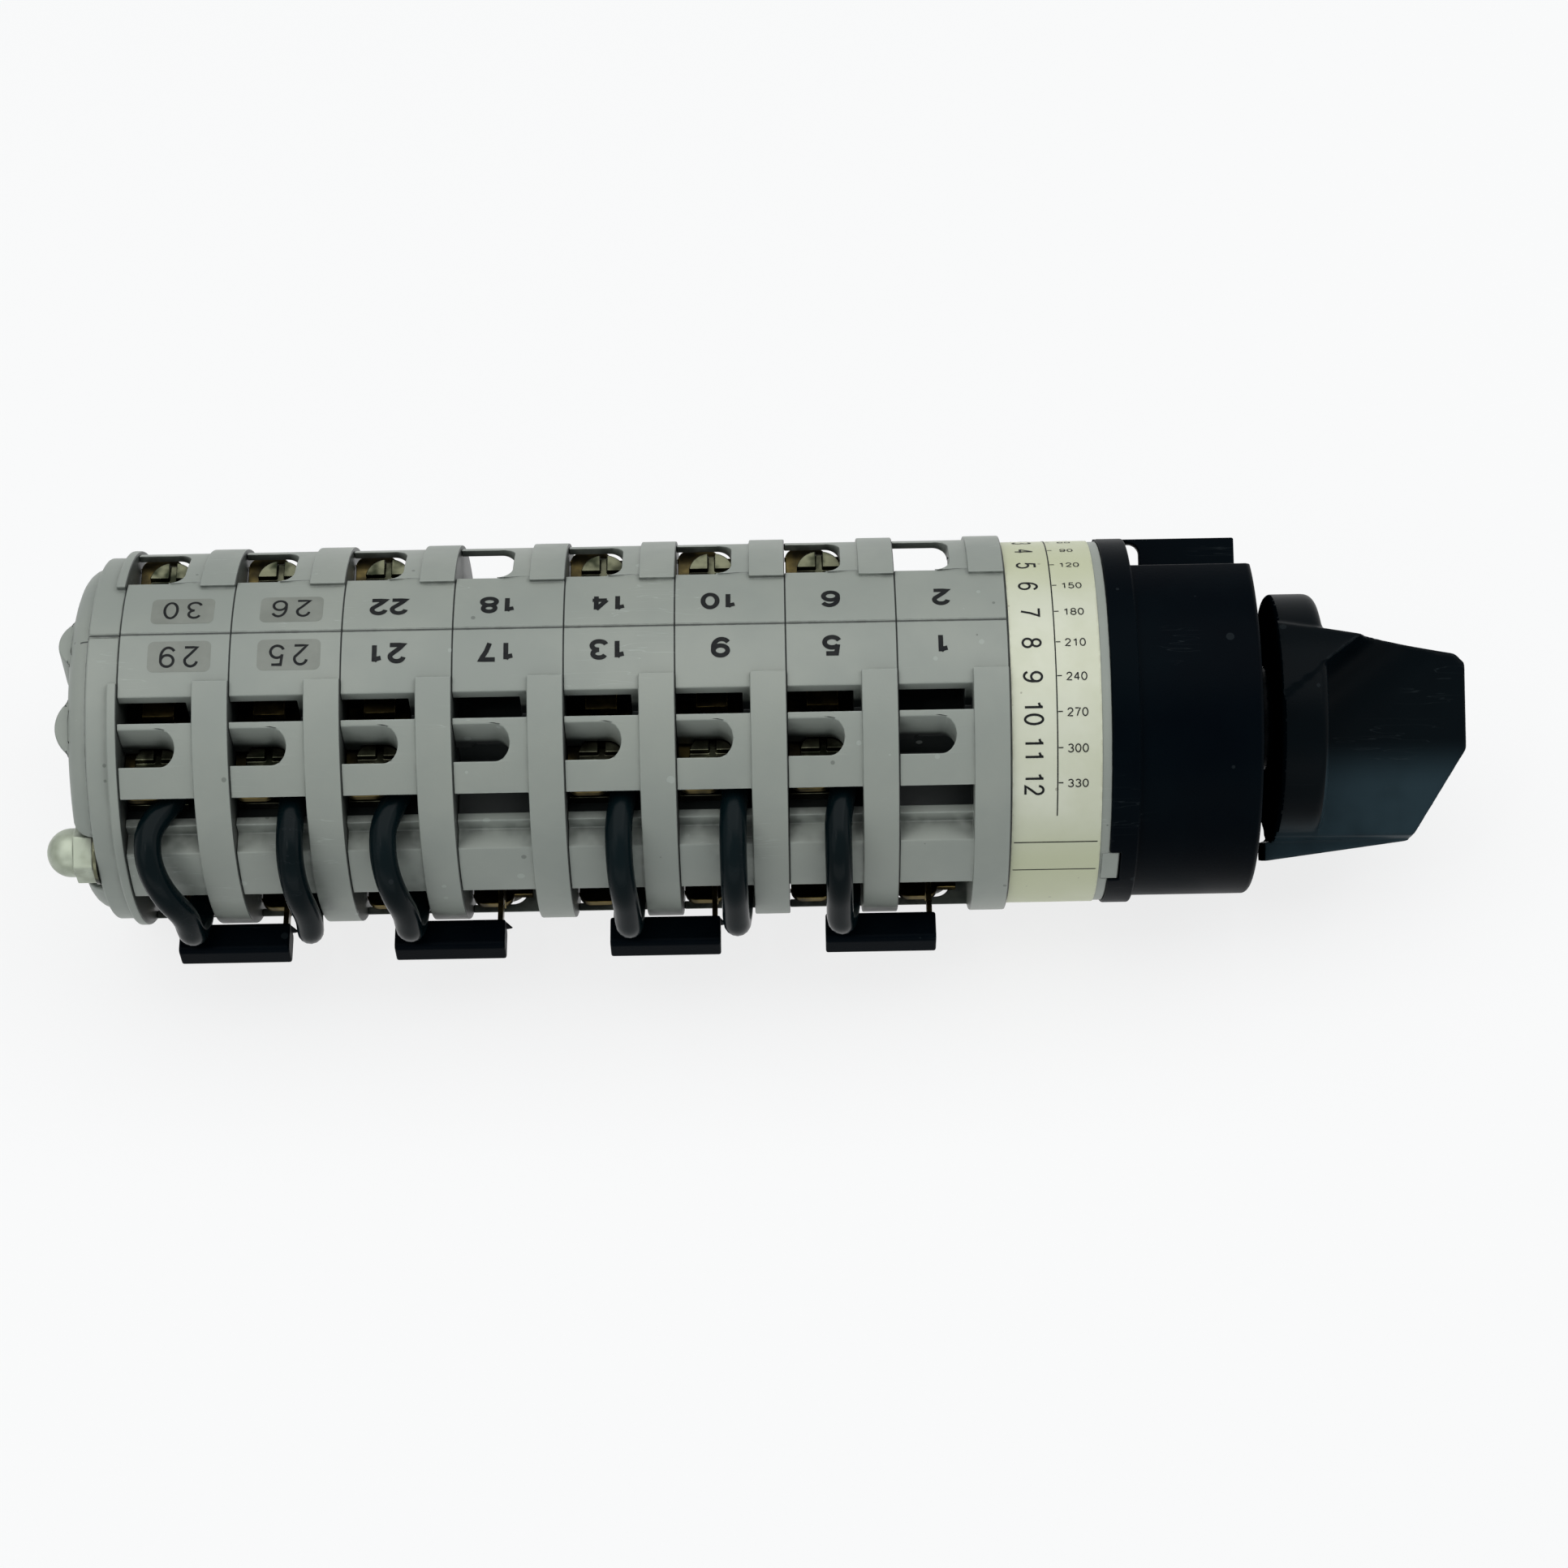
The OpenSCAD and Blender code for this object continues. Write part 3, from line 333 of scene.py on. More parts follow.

# %% [markdown]
# Corners and recesses get dirt and painted shade: a darker colour where a brush can't reach and where shade
# falls.
# Ambient occlusion finds such corners, and a noise keeps the mark from looking like a drawn line.

# %% Group: corner dirt and painted shade
dirt_and_shade, enter, leave = new_group("Corner dirt and painted shade", [("Reach", 0.002), ("Break-up scale", 300)], ["Mask"])
# Painted shade and dirt: the colour darkens where ambient occlusion finds a corner or recess.
corner = add(dirt_and_shade, "ShaderNodeAmbientOcclusion", samples=6)
where = add(dirt_and_shade, "ShaderNodeTexCoord")
breakup = add(dirt_and_shade, "ShaderNodeTexNoise")
dirt_and_shade.links.new(enter.outputs["Reach"], corner.inputs["Distance"])
dirt_and_shade.links.new(where.outputs["Object"], breakup.inputs["Vector"])
dirt_and_shade.links.new(enter.outputs["Break-up scale"], breakup.inputs["Scale"])
closed = ramp(dirt_and_shade, corner.outputs["AO"], 0.85, 0.35)
broken = ramp(dirt_and_shade, breakup.outputs["Fac"], 0.3, 0.6)
dirt_and_shade.links.new(calc(dirt_and_shade, "MULTIPLY", closed, broken), leave.inputs["Mask"])
print("Group:", dirt_and_shade.name)

# %% [markdown]
# The contact chambers are painted nearly black inside, as painted shade deeper than a corner's. The decks are
# round, so the distance from the shaft's line tells how deep a place lies under the outside.

# %% Group: painted shade in the chambers
chamber_shade, enter, leave = new_group("Painted shade in the chambers",
                                [("Unshaded radius", 0.0217), ("Black radius", 0.0208)], ["Mask"])
where = add(chamber_shade, "ShaderNodeTexCoord")
parts = add(chamber_shade, "ShaderNodeSeparateXYZ")
chamber_shade.links.new(where.outputs["Object"], parts.inputs[0])
square = calc(chamber_shade, "ADD", calc(chamber_shade, "MULTIPLY", parts.outputs["Y"], parts.outputs["Y"]),
              calc(chamber_shade, "MULTIPLY", parts.outputs["Z"], parts.outputs["Z"]))
# Painted shade: darker the deeper a place lies below the unshaded radius.
depth = add(chamber_shade, "ShaderNodeMapRange", interpolation_type="SMOOTHSTEP")
chamber_shade.links.new(calc(chamber_shade, "SQRT", square), depth.inputs["Value"])
chamber_shade.links.new(enter.outputs["Unshaded radius"], depth.inputs["From Min"])
chamber_shade.links.new(enter.outputs["Black radius"], depth.inputs["From Max"])
chamber_shade.links.new(depth.outputs[0], leave.inputs["Mask"])
print("Group:", chamber_shade.name)

# %% [markdown]
# Decks meet in fine dark lines, and a moulding seam runs along them between the two rows of numbers. Both
# are found by distance alone: a joint by the part of X that is left over after whole deck lengths, and the
# seam by Y. Half a turn on, the seam comes again, so Y changes its sign with Z.

# %% Group: dirt in the joints
joints, enter, leave = new_group("Dirt in the joints",
                                 [("Start", -0.0325), ("Pitch", 0.01425), ("Width", 0.00012),
                                  ("Seam", 0.00055), ("Least radius", 0.0225)], ["Mask"])
where = add(joints, "ShaderNodeTexCoord")
parts = add(joints, "ShaderNodeSeparateXYZ")
joints.links.new(where.outputs["Object"], parts.inputs[0])
shift = calc(joints, "SUBTRACT", parts.outputs["X"], enter.outputs["Start"])
along = calc(joints, "DIVIDE", shift, enter.outputs["Pitch"])
part = calc(joints, "ABSOLUTE", calc(joints, "SUBTRACT", along, calc(joints, "ROUND", along)))
from_joint = calc(joints, "MULTIPLY", part, enter.outputs["Pitch"])
at_joint = calc(joints, "LESS_THAN", from_joint, enter.outputs["Width"])
turned = calc(joints, "MULTIPLY", parts.outputs["Y"], calc(joints, "SIGN", parts.outputs["Z"]))
from_seam = calc(joints, "ABSOLUTE", calc(joints, "SUBTRACT", turned, enter.outputs["Seam"]))
at_seam = calc(joints, "LESS_THAN", from_seam, enter.outputs["Width"])
height = calc(joints, "ABSOLUTE", parts.outputs["Z"])
outside = calc(joints, "GREATER_THAN", height, enter.outputs["Least radius"])
in_stack = calc(joints, "LESS_THAN", parts.outputs["X"], enter.outputs["Start"])
seam = calc(joints, "MULTIPLY", calc(joints, "MULTIPLY", at_seam, outside), in_stack)
joints.links.new(calc(joints, "MAXIMUM", at_joint, seam), leave.inputs["Mask"])
print("Group:", joints.name)

# %% [markdown]
# A paler colour is painted on the knob's lower flank and the lower side of its disc, as a painted sheen. It
# grows with the distance from the shaft towards that side of the knob, and a slow noise streaks it.

# %% Group: painted sheen on the knob
# The side of the knob that gets the painted sheen.
SHEEN_SIDE = (0, -0.86, -0.51)
painted_sheen, enter, leave = new_group("Painted sheen on the knob",
                                [("Start", 0.003), ("Full", 0.01), ("From X", 0.009)], ["Mask"])
where = add(painted_sheen, "ShaderNodeTexCoord")
parts = add(painted_sheen, "ShaderNodeSeparateXYZ")
across = add(painted_sheen, "ShaderNodeVectorMath", operation="DOT_PRODUCT")
across.inputs[1].default_value = SHEEN_SIDE
streaks = add(painted_sheen, "ShaderNodeTexNoise")
streaks.inputs["Scale"].default_value = 110
rise = add(painted_sheen, "ShaderNodeMapRange", interpolation_type="SMOOTHSTEP")
for socket in (parts.inputs[0], across.inputs[0], streaks.inputs["Vector"]):
    painted_sheen.links.new(where.outputs["Object"], socket)
painted_sheen.links.new(across.outputs["Value"], rise.inputs["Value"])
painted_sheen.links.new(enter.outputs["Start"], rise.inputs["From Min"])
painted_sheen.links.new(enter.outputs["Full"], rise.inputs["From Max"])
patchy = ramp(painted_sheen, streaks.outputs["Fac"], 0.2, 0.6, 0.55, 1.0)
beyond = calc(painted_sheen, "GREATER_THAN", parts.outputs["X"], enter.outputs["From X"])
streaky = calc(painted_sheen, "MULTIPLY", rise.outputs[0], patchy)
painted_sheen.links.new(calc(painted_sheen, "MULTIPLY", streaky, beyond), leave.inputs["Mask"])
print("Group:", painted_sheen.name)

# %% [markdown]
# Metal shows hair-fine lines from rolling or turning, and stains where its plating has aged. The lines are a
# noise drawn out along X, and the stains a plain one.

# %% Group: drawn metal lines
drawn, enter, leave = new_group("Drawn lines", [("Scale", 900), ("Stain scale", 350)], ["Lines", "Stain"])
where = add(drawn, "ShaderNodeTexCoord")
lie = add(drawn, "ShaderNodeMapping")
lie.inputs["Scale"].default_value = (0.12, 1, 1)
lines = add(drawn, "ShaderNodeTexNoise")
lines.inputs["Detail"].default_value = 2
stain = add(drawn, "ShaderNodeTexNoise")
drawn.links.new(where.outputs["Object"], lie.inputs["Vector"])
drawn.links.new(lie.outputs[0], lines.inputs["Vector"])
drawn.links.new(where.outputs["Object"], stain.inputs["Vector"])
drawn.links.new(enter.outputs["Scale"], lines.inputs["Scale"])
drawn.links.new(enter.outputs["Stain scale"], stain.inputs["Scale"])
drawn.links.new(lines.outputs["Fac"], leave.inputs["Lines"])
drawn.links.new(ramp(drawn, stain.outputs["Fac"], 0.4, 0.65), leave.inputs["Stain"])
print("Group:", drawn.name)

# %% [markdown]
# A material is built from the same few steps: place a group, mix a colour over the last one by a mask, and
# feed a height to the normal. Each step is a small function, so a finish reads from top to bottom as its
# layers lie on the real part.

# %% Helpers for materials
def place_group(tree, group, **values):
    """The group as a node in this material, with its own values."""
    node = add(tree, "ShaderNodeGroup", node_tree=group)
    for label, number in values.items():
        node.inputs[label.replace("_", " ")].default_value = number
    return node


def mixed(tree, factor, first, second):
    """Mixes two colours. Each is a socket or a plain colour."""
    node = add(tree, "ShaderNodeMix", data_type="RGBA")
    tree.links.new(factor, node.inputs["Factor"])
    for socket, colour in ((node.inputs[6], first), (node.inputs[7], second)):
        if isinstance(colour, tuple):
            socket.default_value = (*colour, 1)
        else:
            tree.links.new(colour, socket)
    return node.outputs[2]


def open_material(name):
    """An empty material with its Principled shader."""
    material = bpy.data.materials.new(name)
    material.use_nodes = True
    tree = material.node_tree
    return material, tree, tree.nodes["Principled BSDF"]


def layer(tree, mask, share, under, over):
    """Lays a colour over another where the mask is, up to a share of its full strength."""
    return mixed(tree, calc(tree, "MULTIPLY", mask, share), under, over)


def bump(tree, shader, height, distance):
    """Feeds the shader's normal with a bump of that height in metres."""
    node = add(tree, "ShaderNodeBump")
    node.inputs["Distance"].default_value = distance
    tree.links.new(height, node.inputs["Height"])
    tree.links.new(node.outputs["Normal"], shader.inputs["Normal"])


print("Material helpers ready")

# %% [markdown]
# Every plastic here is the same recipe with other numbers: a body colour that drifts to a second one, dirt
# and painted shade in the corners, paler rubbed edges, specks, scratches, and a roughness and a bump that
# follow the grain. The painted shade in the chambers, the joints and the painted sheen on the knob are layers
# only some plastics have.

# %% The recipe for moulded plastic
PIT_SCALE, PIT_SHARE = 850, 0.4
RUBBED_SMOOTHER = 0.08


def moulded(name, colour, drift, dirt_and_shade_colour, rubbed, rough, edge=0.0003, edge_share=0.5, dirt_and_shade_share=0.5,
            specks=0.06, scratch_share=0.35, grain_depth=0.000012, specular=0.3, reach=0.002,
            chamber_shade_share=0.0, joint_share=0.0, film=None, pits=0.0):
    """A finish for moulded plastic."""
    material, tree, shader = open_material(name)
    cover = place_group(tree, skin, Cloud_scale=55, Grain_scale=2600)
    edges = place_group(tree, wear, Width=edge)
    corners = place_group(tree, dirt_and_shade, Reach=reach)
    spots = place_group(tree, dust, Share=specks)
    hairs = place_group(tree, scratch)
    tone = mixed(tree, cover.outputs["Cloud"], colour, drift)
    # Dirt and painted shade in the corners.
    tone = layer(tree, corners.outputs["Mask"], dirt_and_shade_share, tone, dirt_and_shade_colour)
    tone = layer(tree, edges.outputs["Mask"], edge_share, tone, rubbed)
    # Painted shade inside the deck chambers.
    if chamber_shade_share > 0:
        tone = layer(tree, place_group(tree, chamber_shade).outputs["Mask"], chamber_shade_share, tone, dirt_and_shade_colour)
    if joint_share > 0:
        tone = layer(tree, place_group(tree, joints).outputs["Mask"], joint_share, tone, dirt_and_shade_colour)
    if pits > 0:
        holes = place_group(tree, dust, Scale=PIT_SCALE, Share=pits)
        tone = layer(tree, holes.outputs["Mask"], PIT_SHARE, tone, dirt_and_shade_colour)
    # The film is a painted sheen on the knob's lower flank and the lower side of its disc.
    if film:
        blade = place_group(tree, painted_sheen).outputs["Mask"]
        disc = place_group(tree, painted_sheen, Start=0.0125, Full=0.017, From_X=-1.0).outputs["Mask"]
        tone = mixed(tree, calc(tree, "MAXIMUM", blade, disc), tone, film)
    marks = calc(tree, "MAXIMUM", spots.outputs["Mask"], hairs.outputs["Mask"])
    tone = layer(tree, marks, scratch_share, tone, rubbed)
    tree.links.new(tone, shader.inputs["Base Color"])
    dullness = ramp(tree, cover.outputs["Cloud"], 0, 1, rough[0], rough[1])
    smoother = calc(tree, "MULTIPLY", edges.outputs["Mask"], RUBBED_SMOOTHER)
    tree.links.new(calc(tree, "SUBTRACT", dullness, smoother), shader.inputs["Roughness"])
    shader.inputs["Specular IOR Level"].default_value = specular
    bump(tree, shader, cover.outputs["Grain"], grain_depth)
    return material


print("Recipe ready:", moulded.__name__)

# %% [markdown]
# Each plastic is now a few numbers: its colour, the colour it drifts to, its dirt and painted shade, its
# rubbed edges and its range of roughness. The gray comes twice, because only the decks get painted shade in
# their chambers. The blacks hardly reflect at all, which is what makes them look deep beside the gray.

# %% Moulded finishes
finish = {}
for name, chamber_shade_share in (("gray_moulding", 0.97), ("gray_cover", 0.0)):
    finish[name] = moulded(name.replace("_", " ").capitalize(), (0.295, 0.315, 0.279),
                           (0.264, 0.286, 0.257), (0.006, 0.009, 0.0095), (0.42, 0.45, 0.42), (0.4, 0.5),
                           dirt_and_shade_share=0.65, reach=0.004, chamber_shade_share=chamber_shade_share, joint_share=0.8,
                           pits=0.015)
finish["black_moulding"] = moulded("Black moulding", (0.0003, 0.0014, 0.0028), (0.0008, 0.0026, 0.0042),
                                   (0.001, 0.0015, 0.002), (0.03, 0.038, 0.042), (0.36, 0.44), edge_share=0.4,
                                   dirt_and_shade_share=0.3, specks=0.04, scratch_share=0.3, specular=0.015)
# The knob's film colour is a painted sheen on its lower flank.
finish["knob_black"] = moulded("Knob black", (0.0004, 0.0016, 0.0026), (0.0008, 0.0026, 0.0038),
                               (0.001, 0.0015, 0.002), (0.035, 0.045, 0.05), (0.28, 0.36), edge=0.0006,
                               edge_share=0.4, dirt_and_shade_share=0.2, specks=0.03, scratch_share=0.2,
                               grain_depth=0.000006, specular=0.03, film=(0.019, 0.034, 0.042))
finish["cream_moulding"] = moulded("Cream moulding", (0.70, 0.66, 0.52), (0.64, 0.6, 0.47), (0.3, 0.27, 0.2),
                                   (0.8, 0.77, 0.66), (0.4, 0.5))
finish["matt_black"] = moulded("Matt black", (0.0003, 0.0012, 0.002), (0.0006, 0.0018, 0.003),
                               (0.0005, 0.001, 0.001), (0.004, 0.006, 0.007), (0.8, 0.9), edge_share=0.0,
                               specular=0.0)
finish["wire_sheath"] = moulded("Wire sheath", (0.0009, 0.004, 0.005), (0.002, 0.0065, 0.008),
                                (0.008, 0.01, 0.01), (0.03, 0.035, 0.04), (0.2, 0.28), edge_share=0.2,
                                dirt_and_shade_share=0.2, specks=0.05, scratch_share=0.25, grain_depth=0.000006,
                                specular=0.055)
print("Moulded finishes:", sorted(finish))

# %% [markdown]
# Metal is another recipe: its colour is that of the metal and stains towards a darker one, and the drawn
# lines move its roughness. Yellow zinc plate drifts to olive, which is what the screws show. The bright
# plate of the nuts is only partly metallic, because it has gone milky.

# %% Metal finishes
# Metal corners and recesses get dirt and painted shade, found by ambient occlusion.
METAL_DIRT_AND_SHADE, METAL_DIRT_AND_SHADE_SHARE = (0.012, 0.011, 0.008), 0.85


def metal(name, colour, stained, rough, edge_share=0.4, pale=1.25, metallic=1.0, reach=0.003):
    """A finish for drawn, rolled or plated metal."""
    material, tree, shader = open_material(name)
    rolled = place_group(tree, drawn)
    edges = place_group(tree, wear, Width=0.0002)
    corners = place_group(tree, dirt_and_shade, Reach=reach)
    tone = mixed(tree, rolled.outputs["Stain"], colour, stained)
    tone = layer(tree, corners.outputs["Mask"], METAL_DIRT_AND_SHADE_SHARE, tone, METAL_DIRT_AND_SHADE)
    rubbed = tuple(min(1, pale * v) for v in colour)
    tone = layer(tree, edges.outputs["Mask"], edge_share, tone, rubbed)
    tree.links.new(tone, shader.inputs["Base Color"])
    shader.inputs["Metallic"].default_value = metallic
    dullness = ramp(tree, rolled.outputs["Lines"], 0.2, 0.8, rough[0], rough[1])
    tree.links.new(dullness, shader.inputs["Roughness"])
    bump(tree, shader, rolled.outputs["Lines"], 0.000004)
    return material


finish["brass"] = metal("Rolled brass", (0.12, 0.092, 0.034), (0.035, 0.028, 0.012), (0.26, 0.46),
                        edge_share=0.8, pale=4, reach=0.005)
finish["zinc_steel"] = metal("Yellow zinc", (0.1, 0.104, 0.068), (0.014, 0.017, 0.01), (0.16, 0.3),
                             edge_share=0.25, pale=3, reach=0.006)
finish["nut_plate"] = metal("Bright nut plate", (0.38, 0.42, 0.33), (0.27, 0.3, 0.225), (0.26, 0.4),
                            metallic=0.3)
finish["spring_steel"] = metal("Spring steel", (0.55, 0.56, 0.57), (0.4, 0.41, 0.42), (0.2, 0.35))
print("Metal finishes added, now", len(finish))

# %% [markdown]
# The rating label is a printed film. It is cream, has gone yellow towards its ends, where it was handled,
# and is slightly glossier than the plastic. How far round the barrel a place lies is read from a dot product
# with the direction of the label's middle.

# %% Label film
LABEL_MIDDLE = (0, -0.43, 0.9)
YELLOW_FROM, YELLOW_FULL = 0.0217, 0.0133
material, tree, shader = open_material("Label film")
cover = place_group(tree, skin, Cloud_scale=90, Grain_scale=1500)
edges = place_group(tree, wear, Width=0.0005)
spots = place_group(tree, dust, Scale=900, Share=0.05)
tone = mixed(tree, cover.outputs["Cloud"], (0.64, 0.655, 0.525), (0.57, 0.585, 0.44))
where = add(tree, "ShaderNodeTexCoord")
towards_middle = add(tree, "ShaderNodeVectorMath", operation="DOT_PRODUCT")
towards_middle.inputs[1].default_value = LABEL_MIDDLE
tree.links.new(where.outputs["Object"], towards_middle.inputs[0])
yellowed = ramp(tree, towards_middle.outputs["Value"], YELLOW_FROM, YELLOW_FULL)
tone = mixed(tree, yellowed, tone, (0.53, 0.55, 0.36))
tone = layer(tree, edges.outputs["Mask"], 0.6, tone, (0.4, 0.39, 0.27))
tone = layer(tree, spots.outputs["Mask"], 0.6, tone, (0.25, 0.23, 0.17))
tree.links.new(tone, shader.inputs["Base Color"])
tree.links.new(ramp(tree, cover.outputs["Cloud"], 0, 1, 0.34, 0.44), shader.inputs["Roughness"])
bump(tree, shader, cover.outputs["Grain"], 0.000005)
finish["label_film"] = material
print("Finish:", material.name)

# %% [markdown]
# Printing ink is matt and nearly black, and thins out a little here and there. The stickers of the two rear
# decks have aged to almost the gray of the plastic, with darker, grimy rims.

# %% Printing ink and stickers
material, tree, shader = open_material("Printing ink")
cover = place_group(tree, skin, Cloud_scale=400, Grain_scale=3000)
tree.links.new(mixed(tree, cover.outputs["Cloud"], (0.004, 0.005, 0.006), (0.011, 0.012, 0.012)),
               shader.inputs["Base Color"])
tree.links.new(ramp(tree, cover.outputs["Grain"], 0.3, 0.7, 0.4, 0.6), shader.inputs["Roughness"])
shader.inputs["Specular IOR Level"].default_value = 0.1
finish["ink"] = material

material, tree, shader = open_material("Aged sticker")
cover = place_group(tree, skin, Cloud_scale=250, Grain_scale=1500)
edges = place_group(tree, wear, Width=0.0003)
tone = mixed(tree, cover.outputs["Cloud"], (0.2, 0.212, 0.185), (0.232, 0.245, 0.215))
tone = layer(tree, edges.outputs["Mask"], 0.6, tone, (0.12, 0.125, 0.11))
tree.links.new(tone, shader.inputs["Base Color"])
tree.links.new(ramp(tree, cover.outputs["Cloud"], 0, 1, 0.3, 0.4), shader.inputs["Roughness"])
shader.inputs["Specular IOR Level"].default_value = 0.2
finish["sticker"] = material
print("All finishes:", sorted(finish))

# %% [markdown]
# A CAD solid has knife-sharp edges, and a sharp edge catches no light. A real moulding has a small radius on
# every edge. We copy each CAD mesh, weld its seams, merge its flat triangles into whole faces, and let the
# Bevel modifier round what is left. Weighted normals then let the large faces set the shading, so flat faces
# stay flat beside their round edges and the barrels show no facets.

# %% Helpers that copy and round a CAD piece
WELD = 0.003
FLAT_ANGLE, EDGE_ANGLE = 0.5, 26
LARGE_FACE_WEIGHT = 90
node_slot = {part["node"]: part["material_slot"] for part in frame["record"]["subparts"]}
node_body = {node: body for body, nodes in frame["record"]["behaviour"]["bodies"].items() for node in nodes}
own_finish = {"cap_nuts": "nut_plate", "rear_cover": "gray_cover", "index_housing": "gray_cover"}


def welded(node):
    """The CAD piece as a bmesh with its seams closed."""
    form = bmesh.new()
    form.from_mesh(frame["nodes"][node].data)
    bmesh.ops.remove_doubles(form, verts=form.verts, dist=WELD * MM)
    return form


def new_piece(name, form, material):
    """Turns a bmesh into an object of the scene with one material."""
    mesh = bpy.data.meshes.new(name)
    form.to_mesh(mesh)
    form.free()
    mesh.materials.append(material)
    piece = bpy.data.objects.new(name, mesh)
    scene.collection.objects.link(piece)
    return piece


def rounded(node, edge_mm, segments):
    """Puts a copy with rounded edges in the CAD piece's place."""
    form = welded(node)
    bmesh.ops.dissolve_limit(form, angle_limit=math.radians(FLAT_ANGLE), verts=form.verts, edges=form.edges)
    for face in form.faces:
        face.smooth = True
    piece = new_piece(node + "_finished", form, finish[own_finish.get(node, node_slot[node])])
    bevel = piece.modifiers.new("Round edges", "BEVEL")
    bevel.width = edge_mm * MM
    bevel.segments = segments
    bevel.limit_method = "ANGLE"
    bevel.angle_limit = math.radians(EDGE_ANGLE)
    bevel.use_clamp_overlap = False
    bevel.miter_outer = "MITER_ARC"
    weights = piece.modifiers.new("Large faces lead", "WEIGHTED_NORMAL")
    weights.weight = LARGE_FACE_WEIGHT
    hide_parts(node)
    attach(piece, node_body[node])


print("Slots in use:", sorted(set(node_slot.values())))

# %% [markdown]
# The eight decks are the heart of the switch and get the same small radius, as they come from one mould.
# The housings and the caps are larger or softer shapes with larger radii, and the stamped contacts and the
# screws have just enough of one to catch the light.

# %% Round the mouldings, the nuts and the screws
DECKS = range(1, 9)
for k in DECKS:
    rounded(f"deck_{k}", 0.16, segments=2)
for node, edge_mm in (("rear_cover", 0.3), ("index_housing", 0.15), ("front_housing", 0.25),
                      ("link_caps", 0.3), ("cap_nuts", 0.2), ("terminal_screws", 0.15),
                      ("nut_washers", 0.1), ("fixed_contacts", 0.12), ("clamp_plates", 0.12)):
    rounded(node, edge_mm, segments=3)

# %% [markdown]
# The knob is softer than a bevel can make it, because its blade, disc and scoops run into each other. We cut
# it anew from small cubes with a voxel remesh and let a few rounds of smoothing melt its edges, as wear and a
# polished mould do. The back is never touched and stays matt, so it gets a finish of its own.

# %% Soften the knob
BACK_DEPTH, BACK_TILT = 4, -0.3


def softened(node, voxel_mm, rounds):
    """A smooth copy of the CAD piece, made of one even skin."""
    draft = new_piece(node + "_draft", welded(node), finish[node_slot[node]])
    skin_over = draft.modifiers.new("Even skin", "REMESH")
    skin_over.mode = "VOXEL"
    skin_over.voxel_size = voxel_mm * MM
    melt = draft.modifiers.new("Melt the edges", "SMOOTH")
    melt.factor = 0.5
    melt.iterations = rounds
    melted = draft.evaluated_get(bpy.context.evaluated_depsgraph_get())
    shape = bpy.data.meshes.new_from_object(melted)
    bpy.data.objects.remove(draft)
    shape.name = node + "_finished"
    shape.materials.clear()
    shape.materials.append(finish[node_slot[node]])
    shape.materials.append(finish["matt_black"])
    back = min(v.co.x for v in shape.vertices)
    for face in shape.polygons:
        face.use_smooth = True
        at_back = face.center.x < back + BACK_DEPTH * MM and face.normal.x < BACK_TILT
        face.material_index = 1 if at_back else 0
    piece = bpy.data.objects.new(node + "_finished", shape)
    scene.collection.objects.link(piece)
    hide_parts(node)
    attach(piece, node_body[node])
    return piece


knob = softened("knob", 0.3, 6)
print("Knob faces:", len(knob.data.polygons))

# %% [markdown]
# The small inner pieces keep their CAD meshes and take the finish of their slot. They are seen through the
# windows, so they are finished as carefully as the outside.

# %% Finish the CAD pieces that stay
def keep_mesh(node):
    """Gives a CAD piece its finish and leaves its mesh alone."""
    piece = frame["nodes"][node]
    piece.data.materials.clear()
    piece.data.materials.append(finish[node_slot[node]])


kept = [node for node, piece in frame["nodes"].items() if not piece.hide_render]
for node in kept:
    keep_mesh(node)
print("CAD meshes kept:", len(kept))

# %% [markdown]
# The numbers are printed on the round field of each deck, in the plain upright digits that machine makers
# use. A font would be the quick way, but its digits have their own look, so we draw ours as a sign painter
# does: each digit is a few strokes of a flat brush, made of straight runs and parts of an oval.

# %% Digits as strokes
def oval(cx, cy, rx, ry, start, end):
    """Points on a part of an oval, with angles in degrees."""
    steps = max(4, round(abs(end - start) / 12))
    turns = [math.radians(start + (end - start) * i / steps) for i in range(steps + 1)]
    return [(cx + rx * math.cos(t), cy + ry * math.sin(t)) for t in turns]


SIX = [oval(0.5, 0.3, 0.5, 0.3, 0, 360), oval(0.58, 0.5, 0.58, 0.5, 38, 180) + [(0, 0.3)]]
DIGITS = {
    "0": [oval(0.5, 0.5, 0.5, 0.5, 0, 360)],
    "1": [[(0.66, 0), (0.66, 1)], [(0.66, 0.96), (0.52, 0.84), (0.2, 0.78)]],
    "2": [oval(0.5, 0.71, 0.47, 0.29, 172, -22) + [(0.5, 0.33), (0.03, 0), (1, 0)]],
    "3": [oval(0.5, 0.765, 0.44, 0.235, 160, -90), oval(0.5, 0.265, 0.5, 0.265, 90, -165)],
    "4": [[(0.74, 0), (0.74, 1)], [(0.74, 1), (0, 0.3)], [(0, 0.3), (1, 0.3)]],
    "5": [[(0.9, 1), (0.18, 1), (0.08, 0.46)], oval(0.48, 0.32, 0.52, 0.32, 142, -160)],
    "6": SIX,
    "7": [[(0, 1), (1, 1), (0.62, 0.52), (0.38, 0)]],
    "8": [oval(0.5, 0.76, 0.42, 0.24, 0, 360), oval(0.5, 0.265, 0.5, 0.265, 0, 360)],
    "9": [[(1 - x, 1 - y) for x, y in stroke] for stroke in SIX],
}
print("Digits drawn:", len(DIGITS), "strokes:", sum(len(strokes) for strokes in DIGITS.values()))

# %% [markdown]
# A stroke becomes a ribbon: at each point we step half a brush width to both sides of the run. Every point is
# then rolled onto the deck's radius, so the print follows the round surface as the real one does. The digits
# stand on their heads in the picture, because the switch is read from its other side.

